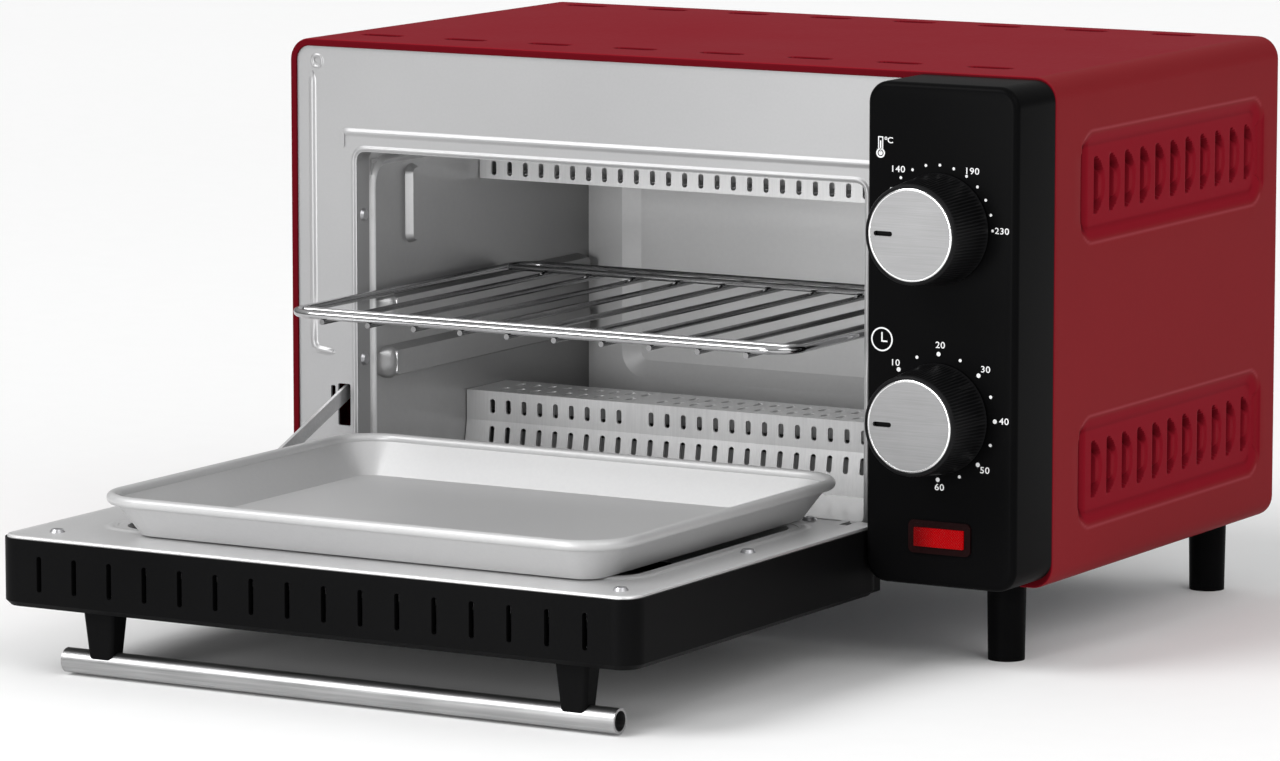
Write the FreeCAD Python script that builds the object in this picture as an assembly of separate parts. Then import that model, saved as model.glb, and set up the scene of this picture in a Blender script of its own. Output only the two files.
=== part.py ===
import FreeCAD, Part
import math
import os

# Countertop toaster oven, standing on four feet with its door folded down level.
# Units are millimetres. The model is drawn with y = 0 at the front rim of the cover,
# z = 0 at the bottom edge of the cover and x = 0 at its middle, +y to the back. When a
# piece is saved it moves to the part's origin: the middle of its footprint, at the floor.

V = FreeCAD.Vector
AXES = {"x": V(1, 0, 0), "y": V(0, 1, 0), "z": V(0, 0, 1)}

# ---- driving dimensions -------------------------------------------------------------
COVER_W = 350.0           # overall width
COVER_H = 199.0           # cover height, without feet
COVER_D = 204.0           # front rim to rear edge
COVER_R = 9.0             # outer bend radius of the cover
SHEET = 1.0               # body sheet steel
LIP = 3.0                 # width of the cover's turned-in front lip
FLANGE = 14.0             # cover's turned-in bottom flanges
PLAY = 0.3                # loose fit between sheet parts
SKIN = 0.05               # close fit of pins, shafts and bushes

FOOT_H = 31.0
FOOT_R_TOP = 7.75
FOOT_R_TIP = 7.25
FOOT_INSET = 25.0         # foot centre from the cover's sides
FOOT_FRONT = 11.0         # front foot centre behind the rim
FOOT_REAR = 9.5           # rear foot centre from the rear edge
FOOT_SCREW_R = 2.0

MOUTH_FROM_SIDE = 31.0    # cavity mouth to the cover's left side
MOUTH_TO_PANEL = 18.2     # cavity mouth to the control housing
OPENING_TOP = 154.0
OPENING_BOTTOM = 18.0
OPENING_R = 5.0
MOUTH_FLANGE = 10.0       # depth of the facia's turned-in flange round the mouth
CAVITY_BACK = 190.0       # inner face of the cavity's rear wall
CAVITY_FLOOR = 14.0
CAVITY_CEILING = 166.0
RACK_RUNNER_TOP = 92.0    # upper shelf runner
TRAY_RUNNER_TOP = 70.0    # lower shelf runner
RUNNER_H = 11.0
RUNNER_OUT = 5.5          # how far runners stand into the cavity
RUNNER_START = 23.0

PANEL_W = 64.8            # control housing
PANEL_DEPTH = 32.3
PANEL_BOTTOM = 3.2        # above the cover's bottom edge
PANEL_TOP = 198.0
PANEL_R = 8.5
PANEL_WALL = 2.5
KNOB_FROM_SIDE = 33.2     # knob axis to the cover's right side
THERMOSTAT_Z = 142.4
TIMER_Z = 69.0
KNOB_R_BASE = 21.5
KNOB_R_FRONT = 19.6
KNOB_DEPTH = 24.5
KNOB_FACE_R = 18.0
SHAFT_R = 3.0
LAMP_FROM_SIDE = 32.0
LAMP_Z = 22.6
LAMP_W = 24.0
LAMP_H = 10.0

DOOR_GAP = 1.2            # door to control housing
DOOR_REACH = 210.0        # rim to the free edge of the open door
DOOR_T = 27.5             # door thickness with its steel liner
DOOR_R = 9.0
DOOR_WALL = 3.0
HINGE_BACK = 19.0         # hinge axis in front of the rim
HINGE_UP = 5.0            # hinge axis above the cover's bottom edge
LINER_UP = 18.0           # liner face above the hinge axis
DOOR_HEEL = 3.5           # door behind the hinge axis
HINGE_PIN_R = 2.5
HINGE_X = 12.0            # bracket from the door's side edges
HINGE_PLATE = 2.0
GLASS_T = 4.0
WINDOW_LEFT = 34.0        # liner window to the door's edges
WINDOW_RIGHT = 29.0
WINDOW_FREE = 42.0
WINDOW_HEEL = 26.0
LOUVRES = 16
LOUVRE_PITCH = 16.25
HANDLE_R = 4.85
HANDLE_L = 247.0
HANDLE_OVERHANG = 18.0
HANDLE_DROP = 25.35       # tube centre under the cover's bottom edge
HANDLE_INSET = 11.0       # tube centre from the door's free edge
POST_W_TOP = 14.5
POST_W_TIP = 10.5

STAY_FROM_MOUTH = 6.6     # stay arm to the mouth's left edge
STAY_T = 1.4
STAY_H = 6.0
STAY_PIVOT = 45.0         # pivot in front of the hinge axis
STAY_PIVOT_UP = 4.0       # pivot above the liner
STAY_LENGTH = 81.0
STAY_HOOK = 5.5
STAY_PIN_R = 1.8
EAR_R = 3.6
STAY_TILT = 21.5          # degrees, at the open door

TRAY_PLAY = 3.0           # tray narrower than the mouth
TRAY_D = 193.0
TRAY_RIM_Z = 38.0         # rim's centre line
TRAY_RIM_R = 2.2
TRAY_T = 1.2
TRAY_INSET = 11.0         # slope of the walls
TRAY_R = 20.0
TRAY_SHIFT = 2.0          # tray's middle from the mouth's
TRAY_BACK = -7.0

RACK_PLAY = 2.8           # shelf narrower than the mouth
RACK_D = 187.0
RACK_FRONT = -58.0
RACK_WIRE_R = 1.65
RACK_BAR_R = 1.15
RACK_BARS = 10
RACK_CROSS_R = 1.35
RACK_CROSS_IN = 12.0      # cross wires from the front and rear wires
RACK_WELD = 0.3           # depth to which the bars are welded into the wires
RACK_R = 12.0

GUARD_SLOT_W = 2.4
GUARD_SLOT_H = 6.0
LOWER_GUARD_Y = 88.0
LOWER_GUARD_TOP = 44.6
LOWER_GUARD_BEND = 32.0
UPPER_GUARD_Y = 99.0
UPPER_GUARD_BOTTOM = 133.2
GUARD_D = 32.0
HEATER_R = 4.0
CERAMIC_WALL = 2.5        # wall of the ceramic bushes round the tubes

# ---- places worked out from them ------------------------------------------------------
SCREW_HEAD = 1.5
SIDE = COVER_W / 2
RIM_Y = (DOOR_REACH - COVER_D - SCREW_HEAD) / 2
PANEL_X = SIDE - PANEL_W
KNOB_X = SIDE - KNOB_FROM_SIDE
LAMP_X = SIDE - LAMP_FROM_SIDE
DOOR_X0 = -SIDE
DOOR_X1 = PANEL_X - DOOR_GAP
DOOR_MID = (DOOR_X0 + DOOR_X1) / 2
LINER_Z = HINGE_UP + LINER_UP
DOOR_Z = LINER_Z - DOOR_T
DOOR_BACK = -HINGE_BACK + DOOR_HEEL
MOUTH_L = -SIDE + MOUTH_FROM_SIDE
MOUTH_R = PANEL_X - MOUTH_TO_PANEL
OPENING_MID = (MOUTH_L + MOUTH_R) / 2
OPENING_W = MOUTH_R - MOUTH_L
STAY_X = MOUTH_L - STAY_FROM_MOUTH
TRAY_W = OPENING_W - TRAY_PLAY
TRAY_MID = OPENING_MID + TRAY_SHIFT
RACK_W = OPENING_W - RACK_PLAY
CAVITY_L = MOUTH_L - SHEET
CAVITY_R = MOUTH_R + SHEET
FACIA_Y = SHEET
WALL_Y = FACIA_Y + SHEET
FLOOR_Z = SHEET
PLATE_EDGE = SIDE - SHEET - PLAY
SADDLE_Y = COVER_D - SHEET
UPPER_TUBE = (UPPER_GUARD_Y + GUARD_D / 2, UPPER_GUARD_BOTTOM + GUARD_D / 2)
LOWER_TUBE = (LOWER_GUARD_Y + GUARD_D / 2, CAVITY_FLOOR + GUARD_D / 2)


# ---- helpers --------------------------------------------------------------------------
def point(axis, level, u, v):
    """Point on the plane across an axis; u and v are the other two coordinates."""
    return {"x": V(level, u, v), "y": V(u, level, v), "z": V(u, v, level)}[axis]


def outline(axis, level, u0, u1, v0, v1, r=0.0):
    """Closed wire of a rectangle with rounded corners."""
    if r <= 0:
        corners = [(u0, v0), (u1, v0), (u1, v1), (u0, v1), (u0, v0)]
        return Part.makePolygon([point(axis, level, u, v) for u, v in corners])
    edges = []
    last = None
    first = None
    for k, (u, v) in enumerate([(u1 - r, v0 + r), (u1 - r, v1 - r), (u0 + r, v1 - r), (u0 + r, v0 + r)]):
        turn = [math.radians(90 * k - 90 + a) for a in (0, 45, 90)]
        arc = [point(axis, level, u + r * math.cos(t), v + r * math.sin(t)) for t in turn]
        if last is not None and last.distanceToPoint(arc[0]) > 1e-6:
            edges.append(Part.LineSegment(last, arc[0]).toShape())
        edges.append(Part.Arc(*arc).toShape())
        first = first or arc[0]
        last = arc[2]
    if last.distanceToPoint(first) > 1e-6:
        edges.append(Part.LineSegment(last, first).toShape())
    return Part.Wire(edges)


def slab(axis, a, b, u0, u1, v0, v1, r=0.0):
    """Rectangular block, with corners rounded about the axis."""
    return Part.Face(outline(axis, a, u0, u1, v0, v1, r)).extrude(AXES[axis] * (b - a))


def rod(axis, a, b, u, v, r, r_end=None):
    """Cylinder, or cone when r_end is given, along an axis."""
    if r_end is None:
        return Part.makeCylinder(r, b - a, point(axis, a, u, v), AXES[axis])
    return Part.makeCone(r, r_end, b - a, point(axis, a, u, v), AXES[axis])


def taper(axis, a, rect_a, b, rect_b):
    """Block whose section changes from rect_a to rect_b; each is u0, u1, v0, v1, r."""
    wires = [outline(axis, a, *rect_a), outline(axis, b, *rect_b)]
    return Part.makeLoft(wires, True, True)


def grow(rect, d):
    """Rectangle u0, u1, v0, v1, r made larger on every side."""
    u0, u1, v0, v1, r = rect
    return (u0 - d, u1 + d, v0 - d, v1 + d, max(r + d, 0.3))


def joined(first, *others):
    return first.fuse(list(others)).removeSplitter()


def cut(first, *others):
    return first.cut(list(others))


def press(axis, face, depth, rect, slope):
    """Outer and inner solids of a field pressed by depth out of a 1-sheet-thick plate.

    face is the level of the plate's surface on the side that the field leaves, and
    depth is signed along the axis. The hollow is cut from the plate joined to the bulge.
    """
    step = math.copysign(SHEET, depth)
    top = grow(rect, -slope)
    solid = taper(axis, face - step, grow(rect, 0), face + depth, top)
    hollow = taper(axis, face - 2 * step, grow(rect, -SHEET), face + depth - step, grow(top, -SHEET))
    return solid, hollow


def pressed(plate, fields):
    """Plate with a list of pressed fields."""
    shape = joined(plate, *[solid for solid, hollow in fields])
    return cut(shape, *[hollow for solid, hollow in fields])


def spaced(count, pitch, middle=0.0):
    """Positions of a row of equal steps about its middle."""
    return [middle + (k - (count - 1) / 2) * pitch for k in range(count)]


def save(name, *shapes):
    """Writes one sub-part, moved to the part's origin."""
    shape = shapes[0] if len(shapes) == 1 else Part.makeCompound(list(shapes))
    shape = shape.copy()
    shape.translate(V(0, RIM_Y, FOOT_H))
    solids = shape.Solids
    shape = solids[0] if len(solids) == 1 else Part.makeCompound(solids)
    shape.exportStep(os.path.join("parts", name + ".step"))
    print(name, len(solids), round(shape.Volume), shape.isValid())


def mirrored(shape):
    """Copy on the other side of the mouth's centre line."""
    return shape.mirror(V(OPENING_MID, 0, 0), V(1, 0, 0))


# ---- cover, base and back ---------------------------------------------------------------
VENT_FIRST_Y = 41.1
VENT_PITCH = 13.8
VENT_COUNT = 11
VENT_W = 4.6
VENT_H = 22.0
VENT_ZS = (42.0, 154.0)
FIELD_H = 46.0
FIELD_FRONT = 19.8        # pressed field before the first vent
FIELD_REAR = 12.2         # and behind the last one
FIELD_DEPTH = 2.0
DIMPLE_PITCH = 40.0
DIMPLE_L = 22.0
DIMPLE_W = 7.0
DIMPLE_FRONT = 27.0
DIMPLE_REAR = 12.0


def outer_cover():
    """One wrapped sheet: top, two sides, bottom flanges and the turned-in front lip."""
    def ring(inset, y0, y1):
        r = max(COVER_R - inset, 0.5)
        return slab("y", y0, y1, -SIDE + inset, SIDE - inset, inset, COVER_H - inset, r)
    shell = cut(ring(0, 0, COVER_D), ring(SHEET, SHEET, COVER_D + 1), ring(LIP, -1, SHEET + 1))
    belly = slab("z", -1, LIP + 0.5, -SIDE + FLANGE, SIDE - FLANGE, -1, COVER_D + 1)
    shell = cut(shell, belly)
    last_y = VENT_FIRST_Y + (VENT_COUNT - 1) * VENT_PITCH
    solids = []
    hollows = []
    for side in (-1, 1):
        for z in VENT_ZS:
            rect = (VENT_FIRST_Y - FIELD_FRONT, last_y + FIELD_REAR, z - FIELD_H / 2, z + FIELD_H / 2, 12)
            solid, hollow = press("x", side * (SIDE - SHEET), -side * FIELD_DEPTH, rect, 2.0)
            solids.append(solid)
            hollows.append(hollow)
            for k in range(VENT_COUNT):
                y = VENT_FIRST_Y + k * VENT_PITCH
                band = (y - VENT_W / 2, y + VENT_W / 2, z - VENT_H / 2, z + VENT_H / 2, VENT_W / 2 - 0.1)
                hollows.append(slab("x", side * SIDE - side * 6, side * (SIDE + 1), *band))
    for x in spaced(8, DIMPLE_PITCH, -7.0):
        for y in (DIMPLE_FRONT, COVER_D - DIMPLE_REAR):
            long = DIMPLE_L / 2
            wide = DIMPLE_W / 2
            rect = (x - long, x + long, y - wide, y + wide, wide - 0.2)
            solid, hollow = press("z", COVER_H - SHEET, -1.6, rect, 1.0)
            solids.append(solid)
            hollows.append(hollow)
            slit = (x - long + 5, x + long - 5, y - 0.8, y + 0.8, 0.7)
            hollows.append(slab("z", COVER_H - 6, COVER_H, *slit))
    save("outer_cover", cut(joined(shell, *solids), *hollows))


FEET = [(name, sx * (SIDE - FOOT_INSET), y)
        for sx, side in ((-1, "left"), (1, "right"))
        for name, y in (("foot_front_" + side, FOOT_FRONT), ("foot_rear_" + side, COVER_D - FOOT_REAR))]


def base_and_feet():
    """Flat base plate carried on the cover's flanges, four feet and their screws."""
    base = slab("z", FLOOR_Z, FLOOR_Z + SHEET, -PLATE_EDGE + COVER_R, PLATE_EDGE - COVER_R,
                WALL_Y, SADDLE_Y)
    holes = [rod("z", -1, 3, x, y, FOOT_SCREW_R + SKIN) for name, x, y in FEET]
    vents = []
    for x in spaced(9, 24.0, OPENING_MID):
        for y in (60.0, 150.0):
            vents.append(slab("z", 0, 3, x - 2, x + 2, y - 16, y + 16, 1.9))
    save("base_plate", cut(base, *holes, *vents))
    screws = []
    for name, x, y in FEET:
        foot = rod("z", -FOOT_H, FLOOR_Z, x, y, FOOT_R_TIP, FOOT_R_TOP)
        if abs(x) > SIDE - FLANGE:
            foot = rod("z", -FOOT_H, 0, x, y, FOOT_R_TIP, FOOT_R_TOP)
        well = rod("z", -FOOT_H - 1, -8, x, y, 4.5)
        bore = rod("z", -FOOT_H, 2, x, y, FOOT_SCREW_R + SKIN)
        save(name, cut(foot, well, bore))
        shank = rod("z", -11, 6, x, y, FOOT_SCREW_R)
        head = rod("z", -11, -8, x, y, 4.0)
        screws.append(joined(head, shank))
    save("foot_screws", *screws)


BACK_SCREWS = [(x, z) for x in (-150.0, 0.0, 150.0) for z in (12.0, COVER_H - 12.0)]
CORD_X = 118.0
CORD_Z = 34.0
CORD_R = 6.5


def back_panel():
    """Vented rear sheet inside the cover's rear edge, with the cord's inlet bush."""
    r = COVER_R - SHEET - PLAY
    plate = slab("y", SADDLE_Y, COVER_D, -PLATE_EDGE, PLATE_EDGE, FLOOR_Z + PLAY,
                 COVER_H - SHEET - PLAY, r)
    holes = [rod("y", SADDLE_Y - 1, COVER_D + 1, x, z, 1.8 + SKIN) for x, z in BACK_SCREWS]
    holes.append(rod("y", SADDLE_Y - 1, COVER_D + 1, CORD_X, CORD_Z, CORD_R))
    for x in spaced(7, 20.0, 84.0):
        for z in (112.0, 148.0):
            holes.append(slab("y", SADDLE_Y - 1, COVER_D + 1, x - 1.6, x + 1.6, z - 13, z + 13, 1.5))
    for x in spaced(9, 20.0, -70.0):
        holes.append(slab("y", SADDLE_Y - 1, COVER_D + 1, x - 1.6, x + 1.6, 150, 176, 1.5))
    ears = []
    for sx in (-1, 1):
        ears.append(slab("y", SADDLE_Y - 8, SADDLE_Y, sx * (PLATE_EDGE - SHEET), sx * PLATE_EDGE, 30, 170))
    save("back_panel", cut(joined(plate, *ears), *holes))
    screws = []
    for x, z in BACK_SCREWS:
        head = rod("y", COVER_D, COVER_D + SCREW_HEAD, x, z, 3.4)
        shank = rod("y", SADDLE_Y - 7, COVER_D, x, z, 1.8)
        cross = slab("y", COVER_D + 0.7, COVER_D + 3, x - 2, x + 2, z - 0.4, z + 0.4)
        screws.append(cut(joined(head, shank), cross))
    save("back_screws", *screws)
    collar = rod("y", SADDLE_Y - 4, COVER_D + SCREW_HEAD, CORD_X, CORD_Z, CORD_R - SKIN)
    inner_rim = rod("y", SADDLE_Y - 4, SADDLE_Y, CORD_X, CORD_Z, CORD_R + 2)
    outer_rim = rod("y", COVER_D, COVER_D + SCREW_HEAD, CORD_X, CORD_Z, CORD_R + 2)
    throat = rod("y", SADDLE_Y - 6, COVER_D + 4, CORD_X, CORD_Z, 3.6)
    save("cord_inlet_bush", cut(joined(collar, inner_rim, outer_rim), throat))


# ---- facia and cavity -----------------------------------------------------------------
BRACKET_MID = (DOOR_X0 + HINGE_X, DOOR_X1 - HINGE_X)
BRACKET_TOP = HINGE_UP + 5.2
BRACKET_BACK = 16.0
BOSS_IN = 7.5
PANEL_BOSSES = [(x, z) for x in (PANEL_X + BOSS_IN, SIDE - BOSS_IN)
                for z in (PANEL_BOTTOM + BOSS_IN, PANEL_TOP - BOSS_IN)]
RIVET_ZS = (67.5, 127.0)


def bead(x0, x1, z0, z1, width=1.6, out=0.5):
    """Straight raised bead on the facia's front."""
    return slab("y", FACIA_Y - out, FACIA_Y + 0.5, x0 - width / 2, x1 + width / 2,
                z0 - width / 2, z1 + width / 2, width / 2 - 0.05)


def front_facia():
    """Front sheet with the mouth, its turned-in flange, beads, slots and control cut-out."""
    r = COVER_R - SHEET - PLAY
    plate = slab("y", FACIA_Y, FACIA_Y + SHEET, -PLATE_EDGE, PLATE_EDGE, FLOOR_Z,
                 COVER_H - SHEET - PLAY, r)
    mouth = (MOUTH_L, MOUTH_R, OPENING_BOTTOM, OPENING_TOP, OPENING_R)
    flange = cut(slab("y", FACIA_Y, FACIA_Y + MOUTH_FLANGE, *grow(mouth, SHEET - PLAY / 10)),
                 slab("y", FACIA_Y - 1, FACIA_Y + MOUTH_FLANGE + 1, *mouth))
    left = -SIDE
    beads = [bead(left + 10, left + 10, 76.0, 185.0), bead(left + 10, left + 19, 70.5, 70.5),
             bead(left + 25, PANEL_X + 6, 161.5, 161.5), bead(left + 25, left + 25, 156.0, 161.5)]
    cuts = [slab("y", -1, 4, *mouth)]
    cuts.append(slab("y", -1, 4, PANEL_X + 9, SIDE - 9, PANEL_BOTTOM + 16, PANEL_TOP - 18, 4))
    cuts.append(slab("y", -1, 4, STAY_X - 2.6, STAY_X + 3.4, 40.0, 57.4, 0.8))
    cuts.append(slab("y", -1, 4, STAY_X - 6.1, STAY_X - 3.9, 45.8, 56.4, 0.6))
    for x in BRACKET_MID:
        half = HINGE_PLATE / 2 + PLAY
        cuts.append(slab("y", -1, 4, x - half, x + half, 0, BRACKET_TOP + 0.6))
    cuts.append(rod("y", -1, FACIA_Y + 0.4, left + 12.6, 190.5, 1.6))
    for x, z in PANEL_BOSSES:
        cuts.append(rod("y", -1, 4, x, z, 1.6))
    for x in (MOUTH_L - 2, MOUTH_R - 4):
        for z in RIVET_ZS:
            cuts.append(rod("x", x, x + 6, FACIA_Y + 6, z, 1.6 + SKIN))
    save("front_facia", cut(joined(plate, flange, *beads), *cuts))


def side_wall():
    """Left wall of the cavity: pressed runners, stiffening rib and border bead."""
    x1 = CAVITY_L
    plate = slab("x", x1 - SHEET, x1, WALL_Y + PLAY, CAVITY_BACK, CAVITY_FLOOR - SHEET,
                 CAVITY_CEILING + SHEET)
    fields = []
    for top in (RACK_RUNNER_TOP, TRAY_RUNNER_TOP):
        rect = (RUNNER_START, CAVITY_BACK - 6, top - RUNNER_H - 2, top + 1.0, 3.5)
        fields.append(press("x", x1, RUNNER_OUT, rect, 2.0))
    fields.append(press("x", x1, 3.0, (40.0, 50.0, 111.0, 145.0, 4.5), 2.0))
    wall = pressed(plate, fields)
    border = [slab("x", x1, x1 + 0.6, 13.6, 15.1, 24.0, 149.0),
              slab("x", x1, x1 + 0.6, 13.6, UPPER_GUARD_Y - PLAY, 147.5, 149.0)]
    holes = [rod("x", x1 - 3, x1 + 1, *tube, HEATER_R + PLAY) for tube in (UPPER_TUBE, LOWER_TUBE)]
    holes += [rod("x", x1 - 3, x1 + 1, FACIA_Y + 6, z, 1.6 + SKIN) for z in RIVET_ZS]
    return cut(joined(wall, *border), *holes)


def cavity():
    """Five sheets that line the oven: two sides, rear wall, ceiling and floor."""
    wall = side_wall()
    save("cavity_left_wall", wall)
    save("cavity_right_wall", mirrored(wall))
    y0 = CAVITY_BACK
    back = slab("y", y0, y0 + SHEET, CAVITY_L - SHEET, CAVITY_R + SHEET, CAVITY_FLOOR - SHEET,
                CAVITY_CEILING + SHEET)
    rect = (CAVITY_L + 14, CAVITY_R - 14, CAVITY_FLOOR + 22, CAVITY_CEILING - 14, 14)
    save("cavity_back_wall", pressed(back, [press("y", y0 + SHEET, 4.0, rect, 9.0)]))
    inner = (CAVITY_L, CAVITY_R, WALL_Y + PLAY, y0)
    save("cavity_ceiling", slab("z", CAVITY_CEILING, CAVITY_CEILING + SHEET, *inner))
    floor = slab("z", CAVITY_FLOOR - SHEET, CAVITY_FLOOR, *inner)
    cove = cut(slab("x", CAVITY_L, CAVITY_R, y0 - 12, y0, CAVITY_FLOOR, CAVITY_FLOOR + 12),
               rod("x", CAVITY_L - 1, CAVITY_R + 1, y0 - 12, CAVITY_FLOOR + 12, 11.0))
    save("cavity_floor", joined(floor, cove))
    rivets = []
    for inner_x, out in ((MOUTH_L, 1), (MOUTH_R, -1)):
        for z in RIVET_ZS:
            ends = sorted((inner_x, inner_x - out * (2 * SHEET + 0.6)))
            stem = rod("x", ends[0], ends[1], FACIA_Y + 6, z, 1.6)
            caps = sorted((inner_x, inner_x + out * 1.0))
            radii = (2.9, 1.9)[::out]
            head = rod("x", caps[0], caps[1], FACIA_Y + 6, z, *radii)
            rivets.append(joined(stem, head))
    save("cavity_rivets", *rivets)


# ---- heating --------------------------------------------------------------------------
GUARD_PITCH = 7.7
GUARD_COUNT = round((OPENING_W - 5) / GUARD_PITCH)
LOWER_SLOTS_MID = OPENING_MID + 5.7


def guard_slots(axis, a, b, v, height, middle=OPENING_MID, skip=()):
    """Row of upright slots across a guard."""
    row = []
    for k, x in enumerate(spaced(GUARD_COUNT, GUARD_PITCH, middle)):
        if k not in skip:
            row.append(slab(axis, a, b, x - GUARD_SLOT_W / 2, x + GUARD_SLOT_W / 2,
                            v - height / 2, v + height / 2, GUARD_SLOT_W / 2 - 0.1))
    return row


def channel(points, a, b):
    """Straight bar along x from a to b over a profile of (y, z) corners."""
    wire = Part.makePolygon([V(a, y, z) for y, z in points + points[:1]])
    return Part.Face(wire).extrude(V(b - a, 0, 0))


def guards():
    """Perforated channels that cover the heating tubes."""
    x0 = CAVITY_L + PLAY
    x1 = CAVITY_R - PLAY
    z0 = UPPER_GUARD_BOTTOM
    y0 = UPPER_GUARD_Y
    shell = cut(slab("x", x0, x1, y0, y0 + GUARD_D, z0, CAVITY_CEILING),
                slab("x", x0 - 1, x1 + 1, y0 + SHEET, y0 + GUARD_D - SHEET, z0 + SHEET, CAVITY_CEILING + 1))
    slots = guard_slots("y", y0 - 1, y0 + 3, z0 + 4.6, GUARD_SLOT_H)
    slots += guard_slots("z", z0 - 1, z0 + 3, y0 + GUARD_D / 2, 18.0)
    save("upper_heater_guard", cut(shell, *slots))
    y0 = LOWER_GUARD_Y
    top = LOWER_GUARD_TOP
    foot = 3.0
    section = [(y0, top), (y0, LOWER_GUARD_BEND), (y0 - foot, CAVITY_FLOOR),
               (y0 + GUARD_D, CAVITY_FLOOR), (y0 + GUARD_D, top)]
    inner = [(y0 + SHEET, top - SHEET), (y0 + SHEET, LOWER_GUARD_BEND),
             (y0 - foot + SHEET, CAVITY_FLOOR - 1), (y0 + GUARD_D - SHEET, CAVITY_FLOOR - 1),
             (y0 + GUARD_D - SHEET, top - SHEET)]
    shell = cut(channel(section, x0, x1), channel(inner, x0 - 1, x1 + 1))
    last = GUARD_COUNT - 1
    slots = guard_slots("y", y0 - 1, y0 + 3, top - 6.3, GUARD_SLOT_H, LOWER_SLOTS_MID, (9, last))
    slots += guard_slots("y", y0 - 5, y0 + 3, LOWER_GUARD_BEND - 5.6, 7.0, LOWER_SLOTS_MID, (last,))
    for row in (9.5, 22.5):
        slots += guard_slots("z", top - 3, top + 1, y0 + row, 7.0, LOWER_SLOTS_MID, (9, last))
    save("lower_heater_guard", cut(shell, *slots))


def heaters():
    """Straight sheathed heating tubes in ceramic bushes outside the side walls."""
    wall_l = CAVITY_L - SHEET
    wall_r = CAVITY_R + SHEET
    seat = 9.0
    tip = 18.0
    pin_r = 1.5
    for name, (y, z) in (("upper", UPPER_TUBE), ("lower", LOWER_TUBE)):
        tube = rod("x", wall_l - seat, wall_r + seat, y, z, HEATER_R)
        pins = [rod("x", wall_l - tip, wall_l - seat, y, z, pin_r),
                rod("x", wall_r + seat, wall_r + tip, y, z, pin_r)]
        save(name + "_heating_tube", joined(tube, *pins))
        bushes = []
        for a, b in ((wall_l - seat - 4, wall_l), (wall_r, wall_r + seat + 4)):
            bush = rod("x", a, b, y, z, HEATER_R + CERAMIC_WALL)
            bore = rod("x", wall_l - seat, wall_r + seat, y, z, HEATER_R + SKIN)
            bushes.append(cut(bush, bore, rod("x", a - 1, b + 1, y, z, pin_r + SKIN)))
        save(name + "_ceramic_bushes", *bushes)


# ---- control housing --------------------------------------------------------------------
CONTROLS = (("thermostat", THERMOSTAT_Z, 17.0, 20.0), ("timer", TIMER_Z, 20.0, 40.0))


def control_housing():
    """Moulded housing with bosses, the controls behind it and the pilot lamp."""
    rect = (PANEL_X, SIDE, PANEL_BOTTOM, PANEL_TOP, PANEL_R)
    front = -PANEL_DEPTH
    nose = 1.6
    body = slab("y", front + nose, 0, *rect)
    face = taper("y", front, grow(rect, -nose), front + nose, rect)
    inner = slab("y", front + PANEL_WALL, 1, *grow(rect, -PANEL_WALL))
    shell = cut(joined(body, face), inner)
    bosses = [rod("y", front + 1, 0, x, z, 3.6) for x, z in PANEL_BOSSES]
    bosses += [rod("y", -1, FACIA_Y, x, z, 3.2) for x, z in PANEL_BOSSES if x < SIDE - LIP - 4]
    holes = [rod("y", -14, 3, x, z, 1.3 + SKIN) for x, z in PANEL_BOSSES]
    holes += [rod("y", front - 1, front + 5, KNOB_X, z, SHAFT_R + 2.2) for name, z, half, depth in CONTROLS]
    holes.append(slab("y", front - 1, front + 5, LAMP_X - LAMP_W / 2, LAMP_X + LAMP_W / 2,
                      LAMP_Z - LAMP_H / 2, LAMP_Z + LAMP_H / 2, 0.8))
    save("control_panel_housing", cut(joined(shell, *bosses), *holes))
    screws = []
    for x, z in PANEL_BOSSES:
        shank = rod("y", -12, WALL_Y, x, z, 1.3)
        head = rod("y", WALL_Y, WALL_Y + 1.8, x, z, 2.8)
        screws.append(joined(shank, head))
    save("control_panel_screws", *screws)
    back = front + PANEL_WALL
    for name, z, half, depth in CONTROLS:
        case = slab("y", back, back + depth, KNOB_X - half, KNOB_X + half, z - half, z + half, 3.0)
        boss = rod("y", back + depth, back + depth + 4, KNOB_X, z, half * 0.45)
        rear = back + depth
        low = z - half + 3
        tabs = [slab("y", rear, rear + 7, x, x + 1, low, low + 6) for x in (KNOB_X - 12, KNOB_X + 11)]
        bore = rod("y", back - 1, back + 12, KNOB_X, z, SHAFT_R + SKIN)
        save(name + "_case", cut(joined(case, boss, *tabs), bore))
        knob(name, z, front, back)
    lamp(front, back)
    bulb_y = 60.0
    bulb_x = CAVITY_R + SHEET + 3.0
    save("thermostat_bulb", rod("z", 60, 118, bulb_x, bulb_y, 2.9))


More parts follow.
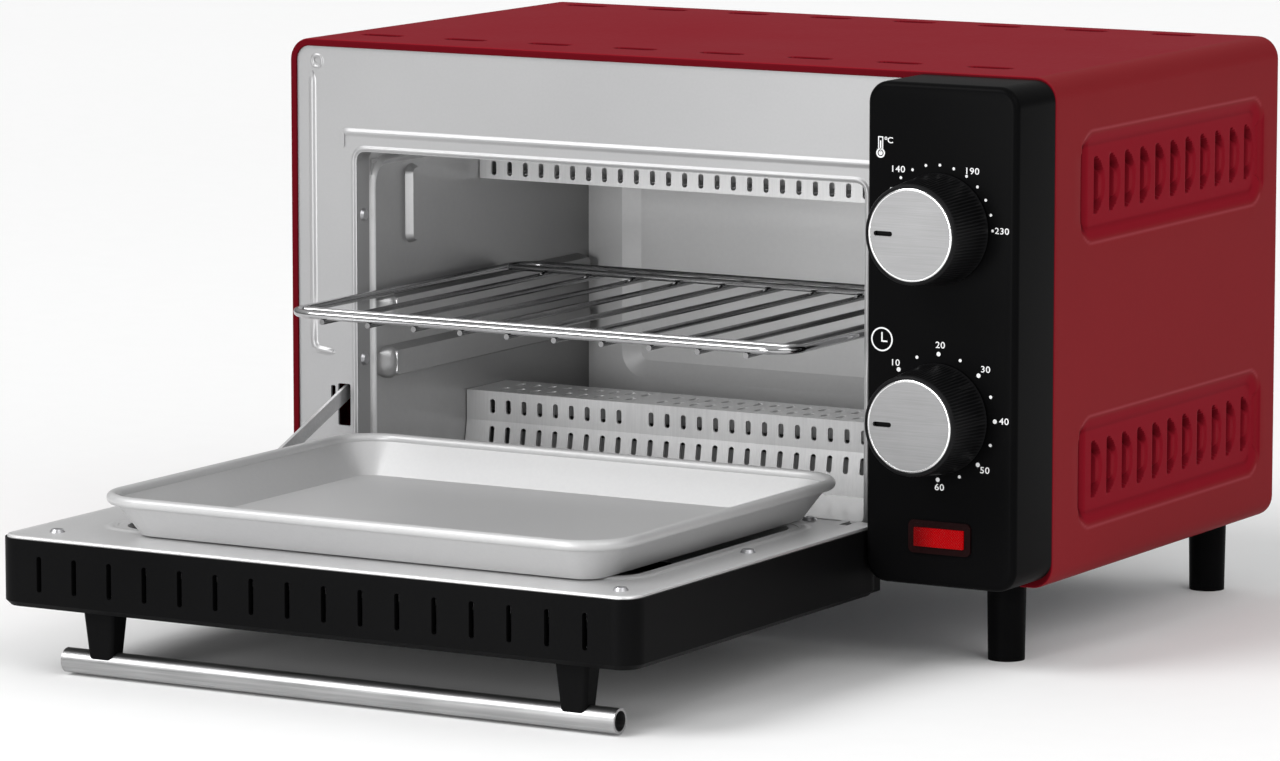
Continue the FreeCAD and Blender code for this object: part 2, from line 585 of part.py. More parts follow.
def knob(name, z, front, back):
    """Shaft, ribbed grip and turned metal face of one control."""
    foot = front - 0.5
    nose = front - KNOB_DEPTH
    save(name + "_shaft", rod("y", nose + 6, back + 11.5, KNOB_X, z, SHAFT_R))
    skirt = rod("y", nose + 1.2, foot, KNOB_X, z, KNOB_R_FRONT, KNOB_R_BASE)
    edge = rod("y", nose, nose + 1.2, KNOB_X, z, KNOB_R_FRONT - 1.1, KNOB_R_FRONT)
    seat = rod("y", nose - 1, nose + 1.4, KNOB_X, z, KNOB_FACE_R)
    bore = rod("y", nose + 6 - SKIN, foot + 1, KNOB_X, z, SHAFT_R + SKIN)
    relief = cut(rod("y", foot - 12, foot + 1, KNOB_X, z, KNOB_R_BASE - 4.5),
                 rod("y", foot - 13, foot + 2, KNOB_X, z, SHAFT_R + 3.5))
    grip = cut(joined(skirt, edge), seat, bore, relief)
    save(name + "_knob_grip", grip)
    face = rod("y", nose + 0.6, nose + 1.4, KNOB_X, z, KNOB_FACE_R - SKIN)
    rim = rod("y", nose + 0.1, nose + 0.6, KNOB_X, z, KNOB_FACE_R - 1.0, KNOB_FACE_R - SKIN)
    slot = slab("y", nose - 1, nose + 2, KNOB_X - 15.5, KNOB_X - 7.6, z - 0.95, z + 0.95, 0.9)
    save(name + "_knob_face", cut(joined(face, rim), slot))


def lamp(front, back):
    """Pilot lamp: bezel with a snap-in body, red lens, and the neon bulb behind it."""
    def box(y0, y1, d, r=0.9):
        return slab("y", y0, y1, *grow((LAMP_X - LAMP_W / 2, LAMP_X + LAMP_W / 2,
                                        LAMP_Z - LAMP_H / 2, LAMP_Z + LAMP_H / 2, r), d))
    bezel = joined(box(front - 1.0, front, 1.4), box(front, back + 9, -SKIN))
    save("indicator_bezel", cut(bezel, box(front - 2, back + 7.5, -1.3)))
    save("indicator_lens", cut(box(front - 1.8, front + 4, -1.3 - SKIN), box(front - 0.4, front + 5, -2.4)))
    bulb = rod("x", LAMP_X - 8, LAMP_X + 6, back + 3.4, LAMP_Z, 2.6)
    cap = Part.makeSphere(2.6, V(LAMP_X + 6, back + 3.4, LAMP_Z))
    seat = slab("y", back + 3.4, back + 7.5, LAMP_X - 4, LAMP_X + 2, LAMP_Z - 1.2, LAMP_Z + 1.2)
    save("indicator_neon", joined(bulb, cap, seat))


def inner_parts():
    """Heat shield beside the cavity and the terminal block by the cord's inlet."""
    x = CAVITY_R + SHEET + 9.0
    start = BRACKET_BACK + 4
    shield = slab("x", x, x + SHEET, start, SADDLE_Y - 2, FLOOR_Z + SHEET, CAVITY_CEILING - 8)
    foot = slab("z", FLOOR_Z + SHEET, FLOOR_Z + 2 * SHEET, x, x + 9, start, SADDLE_Y - 14)
    tubes = [rod("x", x - 1, x + 3, *tube, 8.0) for tube in (UPPER_TUBE, LOWER_TUBE)]
    save("heat_shield", cut(joined(shield, foot), *tubes))
    middle = SIDE - 27.0
    block = slab("z", FLOOR_Z + SHEET, FLOOR_Z + SHEET + 14, middle - 18, middle + 18,
                 SADDLE_Y - 44, SADDLE_Y - 24, 2)
    wells = []
    for x in spaced(3, 11.0, middle):
        wells.append(rod("z", FLOOR_Z + 8, FLOOR_Z + 20, x, SADDLE_Y - 34, 2.4))
        wells.append(rod("y", SADDLE_Y - 46, SADDLE_Y - 20, x, FLOOR_Z + 6.5, 1.9))
    save("terminal_block", cut(block, *wells))


# ---- door -----------------------------------------------------------------------------
WINDOW = (DOOR_X0 + WINDOW_LEFT, DOOR_X1 - WINDOW_RIGHT, -DOOR_REACH + WINDOW_FREE,
          DOOR_BACK - WINDOW_HEEL, 8.0)
FRAME_TOP = LINER_Z - SHEET
GLASS_Z = DOOR_Z + DOOR_WALL
GASKET_T = 2.0
LINER_SCREWS = [(DOOR_X0 + 17, -DOOR_REACH + 17), (DOOR_X1 - 13, -DOOR_REACH + 14),
                (DOOR_X1 - 13, -DOOR_REACH / 2 + 5), (DOOR_X0 + 13, -DOOR_REACH / 2 + 5),
                (DOOR_X1 - 29, DOOR_BACK - 6.5), (DOOR_X0 + 29, DOOR_BACK - 6.5)]
POSTS = [OPENING_MID + side * (HANDLE_L / 2 - HANDLE_OVERHANG) for side in (-1, 1)]


def hinge_pocket(x, extra):
    """Room that the fixed bracket needs inside the door through the whole swing."""
    half = HINGE_PLATE / 2 + 0.8
    return slab("x", x - half, x + half, -HINGE_BACK - 7, DOOR_BACK + 1, HINGE_UP - 7, LINER_Z + extra)


def door():
    """Moulded frame, glass, gasket and steel liner, with handle and hinge parts."""
    rect = (DOOR_X0, DOOR_X1, -DOOR_REACH, DOOR_BACK, DOOR_R)
    soft = 2.0
    body = joined(taper("z", DOOR_Z, grow(rect, -soft), DOOR_Z + soft, rect),
                  slab("z", DOOR_Z + soft, FRAME_TOP, *rect))
    hollow = slab("z", GLASS_Z, FRAME_TOP + 1, *grow(rect, -DOOR_WALL))
    shell = cut(body, hollow)
    bosses = [rod("z", DOOR_Z + 1, FRAME_TOP, x, y, 4.0) for x, y in LINER_SCREWS]
    for x in BRACKET_MID:
        a = max(x - 11, DOOR_X0 + 1)
        b = min(x + 11, DOOR_X1 - 1)
        bosses.append(slab("z", DOOR_Z + 1, FRAME_TOP, a, b, DOOR_BACK - 17, DOOR_BACK))
    holes = [slab("z", DOOR_Z - 1, GLASS_Z + 1, *WINDOW)]
    holes += [rod("z", FRAME_TOP - 12, FRAME_TOP + 1, x, y, 1.4 + SKIN) for x, y in LINER_SCREWS]
    holes += [hinge_pocket(x, 1) for x in BRACKET_MID]
    holes += [rod("x", x - 8.2, x + 8.2, -HINGE_BACK, HINGE_UP, HINGE_PIN_R + SKIN) for x in BRACKET_MID]
    for x in spaced(LOUVRES, LOUVRE_PITCH, DOOR_MID):
        holes.append(slab("y", -DOOR_REACH - 1, -DOOR_REACH + DOOR_WALL + 1, x - 1.1, x + 1.1,
                          DOOR_Z + 6.5, DOOR_Z + 20.5, 1.0))
    holes += [rod("z", DOOR_Z - 1, GLASS_Z + 1, x, -DOOR_REACH + HANDLE_INSET, 2.0 + SKIN) for x in POSTS]
    save("door_frame", cut(joined(shell, *bosses), *holes))
    pane = grow(WINDOW, 7)
    save("door_glass", slab("z", GLASS_Z, GLASS_Z + GLASS_T, *pane))
    gasket_z = GLASS_Z + GLASS_T
    ring = cut(slab("z", gasket_z, gasket_z + GASKET_T, *grow(WINDOW, 3.5)),
               slab("z", gasket_z - 1, gasket_z + GASKET_T + 1, *grow(WINDOW, -1.5)))
    save("door_glass_gasket", ring)
    liner = slab("z", FRAME_TOP, LINER_Z, *grow(rect, -1.2))
    throat = taper("z", gasket_z + GASKET_T, grow(WINDOW, SHEET), FRAME_TOP + 0.5, grow(WINDOW, 4 + SHEET))
    window = taper("z", gasket_z + GASKET_T - 1, grow(WINDOW, -0.2), LINER_Z + 0.1, grow(WINDOW, 4.2))
    ridge = cut(slab("z", LINER_Z - 0.5, LINER_Z + 0.3, *grow(WINDOW, 10.5)),
                slab("z", LINER_Z - 1, LINER_Z + 1, *grow(WINDOW, 8)))
    cuts = [window] + [hinge_pocket(x, 2) for x in BRACKET_MID]
    cuts += [rod("z", FRAME_TOP - 1, LINER_Z + 1, x, y, 1.4 + SKIN) for x, y in LINER_SCREWS]
    save("door_inner_panel", cut(joined(liner, throat, ridge), *cuts))
    screws = []
    for x, y in LINER_SCREWS:
        head = rod("z", LINER_Z, LINER_Z + 1.2, x, y, 3.0, 2.2)
        shank = rod("z", LINER_Z - 10, LINER_Z, x, y, 1.4)
        cross = slab("z", LINER_Z + 0.6, LINER_Z + 2, x - 1.8, x + 1.8, y - 0.35, y + 0.35)
        screws.append(cut(joined(head, shank), cross))
    save("door_panel_screws", *screws)


def handle():
    """Hollow steel tube carried by two tapered posts, each held by a screw."""
    y = -DOOR_REACH + HANDLE_INSET
    x0 = POSTS[0] - HANDLE_OVERHANG
    z = -HANDLE_DROP
    tube = cut(rod("x", x0, x0 + HANDLE_L, y, z, HANDLE_R),
               rod("x", x0 - 1, x0 + HANDLE_L + 1, y, z, HANDLE_R - 1.0))
    save("handle_tube", tube)
    screws = []
    for side, x in zip(("left", "right"), POSTS):
        top = (x - POST_W_TOP / 2, x + POST_W_TOP / 2, y - 5.5, y + 5.5, 2.0)
        tip = (x - POST_W_TIP / 2, x + POST_W_TIP / 2, y - 4.2, y + 4.2, 2.0)
        post = taper("z", z, tip, DOOR_Z, top)
        saddle = rod("x", x - 20, x + 20, y, z, HANDLE_R + SKIN)
        bore = rod("z", DOOR_Z - 9, DOOR_Z + 1, x, y, 2.0 + SKIN)
        save("handle_post_" + side, cut(post, saddle, bore))
        shank = rod("z", DOOR_Z - 8.5, GLASS_Z, x, y, 2.0)
        screws.append(joined(shank, rod("z", GLASS_Z, GLASS_Z + 2.2, x, y, 3.6)))
    save("handle_screws", *screws)


def hinges():
    """Fixed brackets on the base, the pins through them, and the ears on the door liner."""
    for side, x in zip(("left", "right"), BRACKET_MID):
        a = x - HINGE_PLATE / 2
        b = x + HINGE_PLATE / 2
        eye = rod("x", a, b, -HINGE_BACK, HINGE_UP, 5.4)
        bar = slab("x", a, b, -HINGE_BACK, BRACKET_BACK, LIP + PLAY, BRACKET_TOP)
        root = slab("x", a, b, WALL_Y + 0.5, BRACKET_BACK, FLOOR_Z + SHEET, BRACKET_TOP)
        plate = slab("z", FLOOR_Z + SHEET, FLOOR_Z + 2.5, a, x + 11, WALL_Y + 0.5, BRACKET_BACK)
        pin_hole = rod("x", a - 1, b + 1, -HINGE_BACK, HINGE_UP, HINGE_PIN_R + 0.02)
        save("hinge_bracket_" + side, cut(joined(eye, bar, root, plate), pin_hole))
        save("hinge_pin_" + side, rod("x", x - 8, x + 8, -HINGE_BACK, HINGE_UP, HINGE_PIN_R))
    pivot_y = -HINGE_BACK - STAY_PIVOT
    pivot_z = LINER_Z + STAY_PIVOT_UP
    x = STAY_X
    arm = slab("x", x - STAY_T / 2, x + STAY_T / 2, 0, STAY_LENGTH, -STAY_H / 2, STAY_H / 2, 0.8)
    eye = rod("x", x - STAY_T / 2, x + STAY_T / 2, 0, 0, STAY_H / 2 + 0.6)
    hook = slab("x", x - STAY_T / 2, x + STAY_T / 2, STAY_LENGTH - STAY_HOOK, STAY_LENGTH,
                -STAY_H / 2, STAY_H / 2 + 3.5, 0.8)
    arm = cut(joined(arm, eye, hook), rod("x", x - 3, x + 3, 0, 0, STAY_PIN_R + SKIN))
    arm.rotate(V(0, 0, 0), V(1, 0, 0), STAY_TILT)
    arm.translate(V(0, pivot_y, pivot_z))
    save("stay_arm", arm)
    near = x - STAY_T / 2 - PLAY
    far = near - SHEET
    ear = joined(rod("x", far, near, pivot_y, pivot_z, EAR_R),
                 slab("x", far, near, pivot_y - EAR_R, pivot_y + EAR_R, LINER_Z, pivot_z),
                 slab("z", LINER_Z, LINER_Z + 0.8, far - 6, near, pivot_y - EAR_R, pivot_y + EAR_R),
                 rod("x", far, x + STAY_T / 2 + 0.5, pivot_y, pivot_z, STAY_PIN_R))
    save("stay_ear", ear)


# ---- loose parts ------------------------------------------------------------------------
def tray():
    """Deep-drawn baking tray with a rolled rim, lying on the open door."""
    top = (TRAY_MID - TRAY_W / 2 + TRAY_RIM_R, TRAY_MID + TRAY_W / 2 - TRAY_RIM_R,
           TRAY_BACK - TRAY_D + TRAY_RIM_R, TRAY_BACK - TRAY_RIM_R, TRAY_R)
    bottom = grow(top, -TRAY_INSET)
    z0 = LINER_Z + PLAY + 0.3
    dish = cut(taper("z", z0, bottom, TRAY_RIM_Z, top),
               taper("z", z0 + TRAY_T, grow(bottom, -TRAY_T), TRAY_RIM_Z + 0.2, grow(top, -TRAY_T + 0.1)))
    path = outline("z", TRAY_RIM_Z, *top)
    start = path.Edges[0].Vertexes[0].Point
    along = path.Edges[0].tangentAt(path.Edges[0].FirstParameter)
    ring = Part.Wire([Part.Circle(start, along, TRAY_RIM_R).toShape()])
    rim = path.makePipeShell([ring], True, True)
    save("baking_tray", joined(dish, rim))


def rack():
    """Wire shelf, drawn partly out over the door: its frame and the bars welded under it."""
    z = RACK_RUNNER_TOP + PLAY + RACK_WIRE_R
    r = RACK_WIRE_R
    rect = (OPENING_MID - RACK_W / 2 + r, OPENING_MID + RACK_W / 2 - r,
            RACK_FRONT + r, RACK_FRONT + RACK_D - r, RACK_R)
    path = outline("z", z, *rect)
    start = path.Edges[0].Vertexes[0].Point
    along = path.Edges[0].tangentAt(path.Edges[0].FirstParameter)
    frame = path.makePipeShell([Part.Wire([Part.Circle(start, along, r).toShape()])], True, True)
    crosses = [rod("x", rect[0], rect[1], y, z, RACK_CROSS_R)
               for y in (rect[2] + RACK_CROSS_IN, rect[3] - RACK_CROSS_IN)]
    frame = joined(frame, *crosses)
    save("wire_rack", frame)
    under = z - r - RACK_BAR_R + RACK_WELD
    bars = []
    for x in spaced(RACK_BARS, RACK_W / (RACK_BARS + 0.8), OPENING_MID):
        bars.append(cut(rod("y", rect[2] - 1.2, rect[3] + 1.2, x, under, RACK_BAR_R), frame))
    save("rack_bars", *bars)


os.makedirs("parts", exist_ok=True)
outer_cover()
base_and_feet()
back_panel()
front_facia()
cavity()
guards()
heaters()
control_housing()
inner_parts()
door()
handle()
hinges()
tray()
rack()
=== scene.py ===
import bpy
import math
from mathutils import Matrix, Vector


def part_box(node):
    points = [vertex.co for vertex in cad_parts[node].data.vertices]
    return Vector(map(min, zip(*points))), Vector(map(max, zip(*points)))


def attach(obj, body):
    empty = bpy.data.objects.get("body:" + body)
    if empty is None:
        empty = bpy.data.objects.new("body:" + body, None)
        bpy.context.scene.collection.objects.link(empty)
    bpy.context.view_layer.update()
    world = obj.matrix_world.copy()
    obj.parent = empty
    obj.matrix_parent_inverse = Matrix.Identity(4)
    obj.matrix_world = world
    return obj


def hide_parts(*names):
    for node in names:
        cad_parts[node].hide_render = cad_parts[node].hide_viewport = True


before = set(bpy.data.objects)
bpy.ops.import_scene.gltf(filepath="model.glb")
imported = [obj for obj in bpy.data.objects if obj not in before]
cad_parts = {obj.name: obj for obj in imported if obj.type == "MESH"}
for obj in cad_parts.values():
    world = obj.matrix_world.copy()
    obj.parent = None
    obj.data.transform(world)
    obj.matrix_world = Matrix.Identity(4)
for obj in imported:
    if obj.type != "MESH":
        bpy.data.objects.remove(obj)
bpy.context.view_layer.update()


# ---- Outer cover --------------------------------------------------------------------
# The red cover is one sheet of mild steel, pressed with vent fields, louvres and top
# scoops while flat, then folded round the oven and turned in at the front as a narrow
# lip. It is sprayed with a satin stoving enamel, which leaves a faint orange peel.
cover_low, cover_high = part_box("outer_cover")
COVER_HALF = cover_high.x
COVER_FOLD = 0.009
COVER_LIP = 0.003
COVER_TURN = 0.0011
COVER_THICK = 0.0010
LIP_ROUND = 0.0002
REAR_ROUND = 0.0004
REAR_TURNED_IN = 0.008
SIDE_FLANGE = 0.014
VENT_PITCH = 0.0138
VENT_COUNT = 11
VENT_FIRST = cover_low.y + 0.0383
VENT_LAST = VENT_FIRST + VENT_COUNT * VENT_PITCH
VENT_MARGIN = 0.0004
VENT_LEVELS = (cover_low.z + 0.042, cover_low.z + 0.154)
FIELD_FRONT = cover_low.y + 0.0213
FIELD_REAR = cover_low.y + 0.1913
FIELD_HALF_HIGH = 0.023
FIELD_CORNER = 0.012
FIELD_DEEP = 0.0022
LEVEL_SLOPE = 0.0078
UPRIGHT_SLOPE = 0.0045
SLOPE_CHANGE = 0.008
GROOVE_DEEP = 0.0019
GROOVE_HALF_HIGH = 0.0195
GROOVE_FADE = 0.006
LOUVRE_WIDE = 0.0092
LOUVRE_HALF_HIGH = 0.0112
LOUVRE_DEEP = 0.0042
LOUVRE_CURVE = 0.62
LOUVRE_EDGE = 0.0009
FLAP_FROM = 0.0040
FLAP_RISE = 0.0012
FLAP_HALF_HIGH = 0.70
FLAP_LOWERED = 0.06
FLAP_FADE = 0.34
FLAP_DEEP = 0.0007
SCOOP_XS = [(-0.007 + (k - 3.5) * 0.040) for k in range(8)]
SCOOP_YS = (cover_low.y + 0.027, cover_low.y + 0.192)
SCOOP_HALF_LONG = 0.0098
SCOOP_HALF_WIDE = 0.0038
SCOOP_DEEP = 0.0016
SCOOP_EDGE = 0.0019
SCOOP_ROOM = 0.006
PRESS_STEP_Y = 0.0008
PRESS_STEP_Z = 0.00098
SCOOP_STEP_X = 0.00125
SCOOP_STEP_Y = 0.0006

# Bands in from a field's front or rear end: start, rise, stop, fall.
GROOVE_BAND = (0.0015, 0.0020, 0.0112, 0.0026)
GROOVE_SHADE_BAND = (0.0030, 0.0010, 0.0098, 0.0018)
REAR_SHADE_BAND = (0.0, 0.0006, 0.0024, 0.0010)

# Painted shading of the enamel: 0 for open sheet, 1 for the darkest pocket, less than 0 for a
# painted highlight along an outline. Fields, grooves, louvres, scoops, lip and top all get painted shade.
FIELD_TONE = 0.42
FIELD_TONE_RUN = 0.0026
OUTLINE_TONE = 0.30
OUTLINE_IN = 0.0011
OUTLINE_FADE = 0.003
CREASE_TONE = 0.15
CREASE_IN = 0.0066
GROOVE_SHADE = 0.58
REAR_SHADE = 0.50
POCKET_SHADE = 0.47
FLAP_GLEAM = 0.10
FLAP_FOOT_SHADE = 0.16
FLAP_FOOT_UP = 0.45
SCOOP_SHADE = 0.86
SCOOP_SHADE_RUN = 0.0005
LIP_SHADE = 0.80
LIP_SHADE_RUN = 0.0004
ENAMEL_RED = (0.232, 0.0195, 0.0240, 1.0)
ENAMEL_RED_DEEP = (0.214, 0.0165, 0.0205, 1.0)
ENAMEL_FIELD_SHADE = (0.232, 0.0085, 0.0170, 1.0)
ENAMEL_SHADED = (0.030, 0.0006, 0.0016, 1.0)
ENAMEL_OUTLINE_HIGHLIGHT = (0.300, 0.0480, 0.0580, 1.0)


def put(tree, kind, values=None, **settings):
    """Adds a shader node, and sets its plain properties and its sockets' values."""
    node = tree.nodes.new(kind)
    for label, value in settings.items():
        setattr(node, label, value)
    for label, value in (values or {}).items():
        node.inputs[label].default_value = value
    return node


def join(tree, source, out, target, into):
    """Links one node's output to another node's input."""
    tree.links.new(source.outputs[out], target.inputs[into])


def add_object(name, data):
    """New object for a mesh, lamp or camera, in the scene."""
    thing = bpy.data.objects.new(name, data)
    bpy.context.scene.collection.objects.link(thing)
    return thing


def new_group(name, takes, gives):
    """Shader group with its named sockets; returns it with its two end nodes."""
    group = bpy.data.node_groups.new(name, "ShaderNodeTree")
    for label, kind, value in takes:
        socket = group.interface.new_socket(label, in_out="INPUT", socket_type=kind)
        socket.default_value = value
    for label, kind in gives:
        group.interface.new_socket(label, in_out="OUTPUT", socket_type=kind)
    return group, group.nodes.new("NodeGroupInput"), group.nodes.new("NodeGroupOutput")


def build_surface_wander():
    """Slow patches and fine grain of a worked surface, stretched along its grain."""
    takes = [("Place", "NodeSocketVector", (0, 0, 0)), ("Stretch", "NodeSocketVector", (1, 1, 1)),
             ("Patch Scale", "NodeSocketFloat", 12.0), ("Grain Scale", "NodeSocketFloat", 700.0)]
    gives = [("Patch", "NodeSocketFloat"), ("Grain", "NodeSocketFloat")]
    group, start, end = new_group("Surface Wander", takes, gives)
    stretched = put(group, "ShaderNodeVectorMath", operation="MULTIPLY")
    patch = put(group, "ShaderNodeTexNoise", {"Detail": 3.0})
    grain = put(group, "ShaderNodeTexNoise", {"Detail": 4.0})
    join(group, start, "Place", stretched, 0)
    join(group, start, "Stretch", stretched, 1)
    join(group, start, "Place", patch, "Vector")
    join(group, start, "Patch Scale", patch, "Scale")
    join(group, stretched, 0, grain, "Vector")
    join(group, start, "Grain Scale", grain, "Scale")
    join(group, patch, 0, end, "Patch")
    join(group, grain, 0, end, "Grain")
    return group


def build_edge_rub():
    """Mask of the outer edges, tinted there for wear and as a painted highlight."""
    takes = [("From", "NodeSocketFloat", 0.506), ("To", "NodeSocketFloat", 0.518)]
    group, start, end = new_group("Edge Wear And Sheen", takes, [("Mask", "NodeSocketFloat")])
    shape = put(group, "ShaderNodeNewGeometry")
    spread = put(group, "ShaderNodeMapRange")
    join(group, shape, "Pointiness", spread, "Value")
    join(group, start, "From", spread, "From Min")
    join(group, start, "To", spread, "From Max")
    join(group, spread, "Result", end, "Mask")
    return group


surface_wander = build_surface_wander()
edge_wear_and_sheen_mask = build_edge_rub()


def lay_finish(name, pale, deep, rough, metal=0.0, stretch=(1, 1, 1), patch=12.0, grain=700.0,
               relief=0.00001, edge_wear_and_sheen=None, streak=0.5, shine=0.5):
    """Finish whose colour and gloss wander between two values over a fine raised grain."""
    finish = bpy.data.materials.new(name)
    finish.use_nodes = True
    tree = finish.node_tree
    skin = tree.nodes["Principled BSDF"]
    skin.inputs["Metallic"].default_value = metal
    skin.inputs["Specular IOR Level"].default_value = shine
    where = put(tree, "ShaderNodeTexCoord")
    wander = put(tree, "ShaderNodeGroup", {"Stretch": stretch, "Patch Scale": patch,
                                           "Grain Scale": grain}, node_tree=surface_wander)
    join(tree, where, "Object", wander, "Place")
    blend = put(tree, "ShaderNodeMix", {"Factor": streak})
    join(tree, wander, "Patch", blend, "A")
    join(tree, wander, "Grain", blend, "B")
    tone = put(tree, "ShaderNodeMapRange", {"From Min": 0.3, "From Max": 0.7})
    join(tree, blend, "Result", tone, "Value")
    colour = put(tree, "ShaderNodeMix", {"A": deep, "B": pale}, data_type="RGBA")
    join(tree, tone, "Result", colour, "Factor")
    last_colour = colour.outputs["Result"]
    if edge_wear_and_sheen is not None:
        edge = put(tree, "ShaderNodeGroup", node_tree=edge_wear_and_sheen_mask)
        edge_tinted = put(tree, "ShaderNodeMix", {"B": edge_wear_and_sheen}, data_type="RGBA")
        join(tree, edge, "Mask", edge_tinted, "Factor")
        tree.links.new(last_colour, edge_tinted.inputs["A"])
        last_colour = edge_tinted.outputs["Result"]
    tree.links.new(last_colour, skin.inputs["Base Color"])
    gloss = put(tree, "ShaderNodeMapRange", {"From Min": 0.3, "From Max": 0.7, "To Min": rough[0],
                                             "To Max": rough[1]})
    join(tree, blend, "Result", gloss, "Value")
    join(tree, gloss, "Result", skin, "Roughness")
    raised = put(tree, "ShaderNodeBump", {"Distance": relief})
    join(tree, wander, "Grain", raised, "Height")
    join(tree, raised, "Normal", skin, "Normal")
    return finish


def dress(node, finish):
    """Gives a node of the frame its finish."""
    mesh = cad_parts[node].data
    mesh.materials.clear()
    mesh.materials.append(finish)


SHARP_OVER = 38


def skin_piece(name, points, faces, finish, body, stands_for=()):
    """New piece from points and faces, with its finish, body and the nodes it stands for."""
    mesh = bpy.data.meshes.new(name)
    mesh.from_pydata([tuple(p) for p in points], [], faces)
    mesh.validate()
    mesh.materials.append(finish)
    piece = add_object(name, mesh)
    mesh.shade_smooth()
    mesh.set_sharp_from_angle(angle=math.radians(SHARP_OVER))
    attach(piece, body)
    if stands_for:
        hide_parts(*stands_for)
    return piece


def ease(t):
    """Smooth step from 0 to 1."""
    t = min(max(t, 0.0), 1.0)
    return t * t * (3 - 2 * t)


def in_band(full, value, band):
    """Full between two places, easing off on either side."""
    start, rise, stop, fall = band
    return full * ease((value - start) / rise) * ease((stop - value) / fall)


def louvre_press(y, up):
    """What a louvre adds to its field's depth and shade; up runs from -1 to 1 over it."""
    k = math.floor((y - VENT_FIRST) / VENT_PITCH)
    if not 0 <= k < VENT_COUNT or abs(up) >= 1:
        return 0.0, 0.0
    along = y - VENT_FIRST - k * VENT_PITCH
    reach = LOUVRE_WIDE * (1 - up * up) ** LOUVRE_CURVE
    pocket = ease(min(along, reach - along, LOUVRE_HALF_HIGH * (1 - abs(up))) / LOUVRE_EDGE)
    flap = ease((along - FLAP_FROM) / FLAP_RISE)
    flap *= ease((FLAP_HALF_HIGH - abs(up + FLAP_LOWERED)) / FLAP_FADE)
    gleam = FLAP_GLEAM - FLAP_FOOT_SHADE * ease(up + FLAP_FOOT_UP)
    deep = pocket * (LOUVRE_DEEP * (1 - flap) + FLAP_DEEP * flap)
    return deep, pocket * (POCKET_SHADE * (1 - flap) - flap * gleam)


def vent_press(y, z):
    """Depth of the pressing at this place of a side, and the shade its enamel is painted."""
    half_long = (FIELD_REAR - FIELD_FRONT) / 2
    for level in VENT_LEVELS:
        dy = abs(y - (FIELD_FRONT + FIELD_REAR) / 2) - (half_long - FIELD_CORNER)
        dz = abs(z - level) - (FIELD_HALF_HIGH - FIELD_CORNER)
        inside = FIELD_CORNER - math.hypot(max(dy, 0), max(dz, 0)) - min(max(dy, dz), 0)
        if inside <= 0:
            continue
        level_edge = ease((dz - dy) / OUTLINE_FADE + 1)
        outline = level_edge * max(0.0, 1 - abs(inside - OUTLINE_IN) / OUTLINE_IN)
        crease = level_edge * max(0.0, 1 - abs(inside - CREASE_IN) / OUTLINE_IN)
        shade = FIELD_TONE * ease((inside - OUTLINE_IN) / FIELD_TONE_RUN)
        shade = shade + CREASE_TONE * crease - OUTLINE_TONE * outline
        deep = FIELD_DEEP * ease(inside / (LEVEL_SLOPE if dz > dy - SLOPE_CHANGE else UPRIGHT_SLOPE))
        upright = ease((GROOVE_HALF_HIGH - abs(z - level)) / GROOVE_FADE)
        deep += in_band(GROOVE_DEEP * upright, y - FIELD_FRONT, GROOVE_BAND)
        shade += in_band(GROOVE_SHADE * upright, y - FIELD_FRONT, GROOVE_SHADE_BAND)
        shade += in_band(REAR_SHADE * upright, FIELD_REAR - y, REAR_SHADE_BAND)
        louvre_deep, louvre_shade = louvre_press(y, (z - level) / LOUVRE_HALF_HIGH)
        return deep + louvre_deep, min(shade + louvre_shade, 1.0)
    return 0.0, 0.0


def scoop_press(x, y):
    """Depth of the pressing at this place of the top, and the shade its enamel is painted."""
    for cx in SCOOP_XS:
        for cy in SCOOP_YS:
            past_middle = abs(x - cx) - (SCOOP_HALF_LONG - SCOOP_HALF_WIDE)
            inside = SCOOP_HALF_WIDE - math.hypot(max(past_middle, 0), abs(y - cy))
            if inside > 0:
                shade = FIELD_TONE + (SCOOP_SHADE - FIELD_TONE) * ease(inside / SCOOP_SHADE_RUN)
                return SCOOP_DEEP * ease(inside / SCOOP_EDGE), shade
    # Outside the scoops the whole top is painted in the field's shade.
    return 0.0, FIELD_TONE


def even(a, b, step):
    """Evenly spaced values from a to b, about a step apart, without b."""
    count = max(1, round(abs(b - a) / step))
    return [a + (b - a) * k / count for k in range(count)]


def spaced(stops, steps):
    """Evenly spaced values over several runs, each with its own step."""
    values = []
    for k, step in enumerate(steps):
        values += even(stops[k], stops[k + 1], step)
    return values


def fold_rows():
    """(inset, y) of the rows across the front lip and its rounded fold."""
    y0 = cover_low.y
    rows = [(COVER_LIP, y0 + COVER_TURN), (COVER_LIP, y0 + LIP_ROUND), (COVER_LIP - LIP_ROUND, y0)]
    for k in range(6):
        a = math.radians(90 * k / 5)
        rows.append((COVER_TURN * (1 - math.sin(a)), y0 + COVER_TURN * (1 - math.cos(a))))
    return rows


def cover_strip(stations, depths, press):
    """Grid over one strip of the wrap. A station is a base point and its outward side."""
    rows = fold_rows() + [(0.0, y) for y in depths]
    rear = cover_high.y
    rows += [(0.0, rear - REAR_ROUND), (REAR_ROUND, rear), (COVER_THICK, rear),
             (COVER_THICK, rear - REAR_TURNED_IN)]
    points = []
    shades = []
    for inset, y in rows:
        for x, z, nx, nz in stations:
            flat_sheet = inset == 0.0 and 1 in (abs(nx), nz)
            # The lip and its rounded fold are painted in shade.
            lip = (inset, LIP_SHADE * ease(inset / LIP_SHADE_RUN))
            deep, shade = press(x, y, z) if flat_sheet else lip
            points.append((x - nx * deep, y, z - nz * deep))
            shades.append(shade)
    wide = len(stations)
    faces = []
    for r in range(len(rows) - 1):
        for c in range(wide - 1):
            a = r * wide + c
            faces.append((a, a + 1, a + wide + 1, a + wide))
    return points, faces, shades


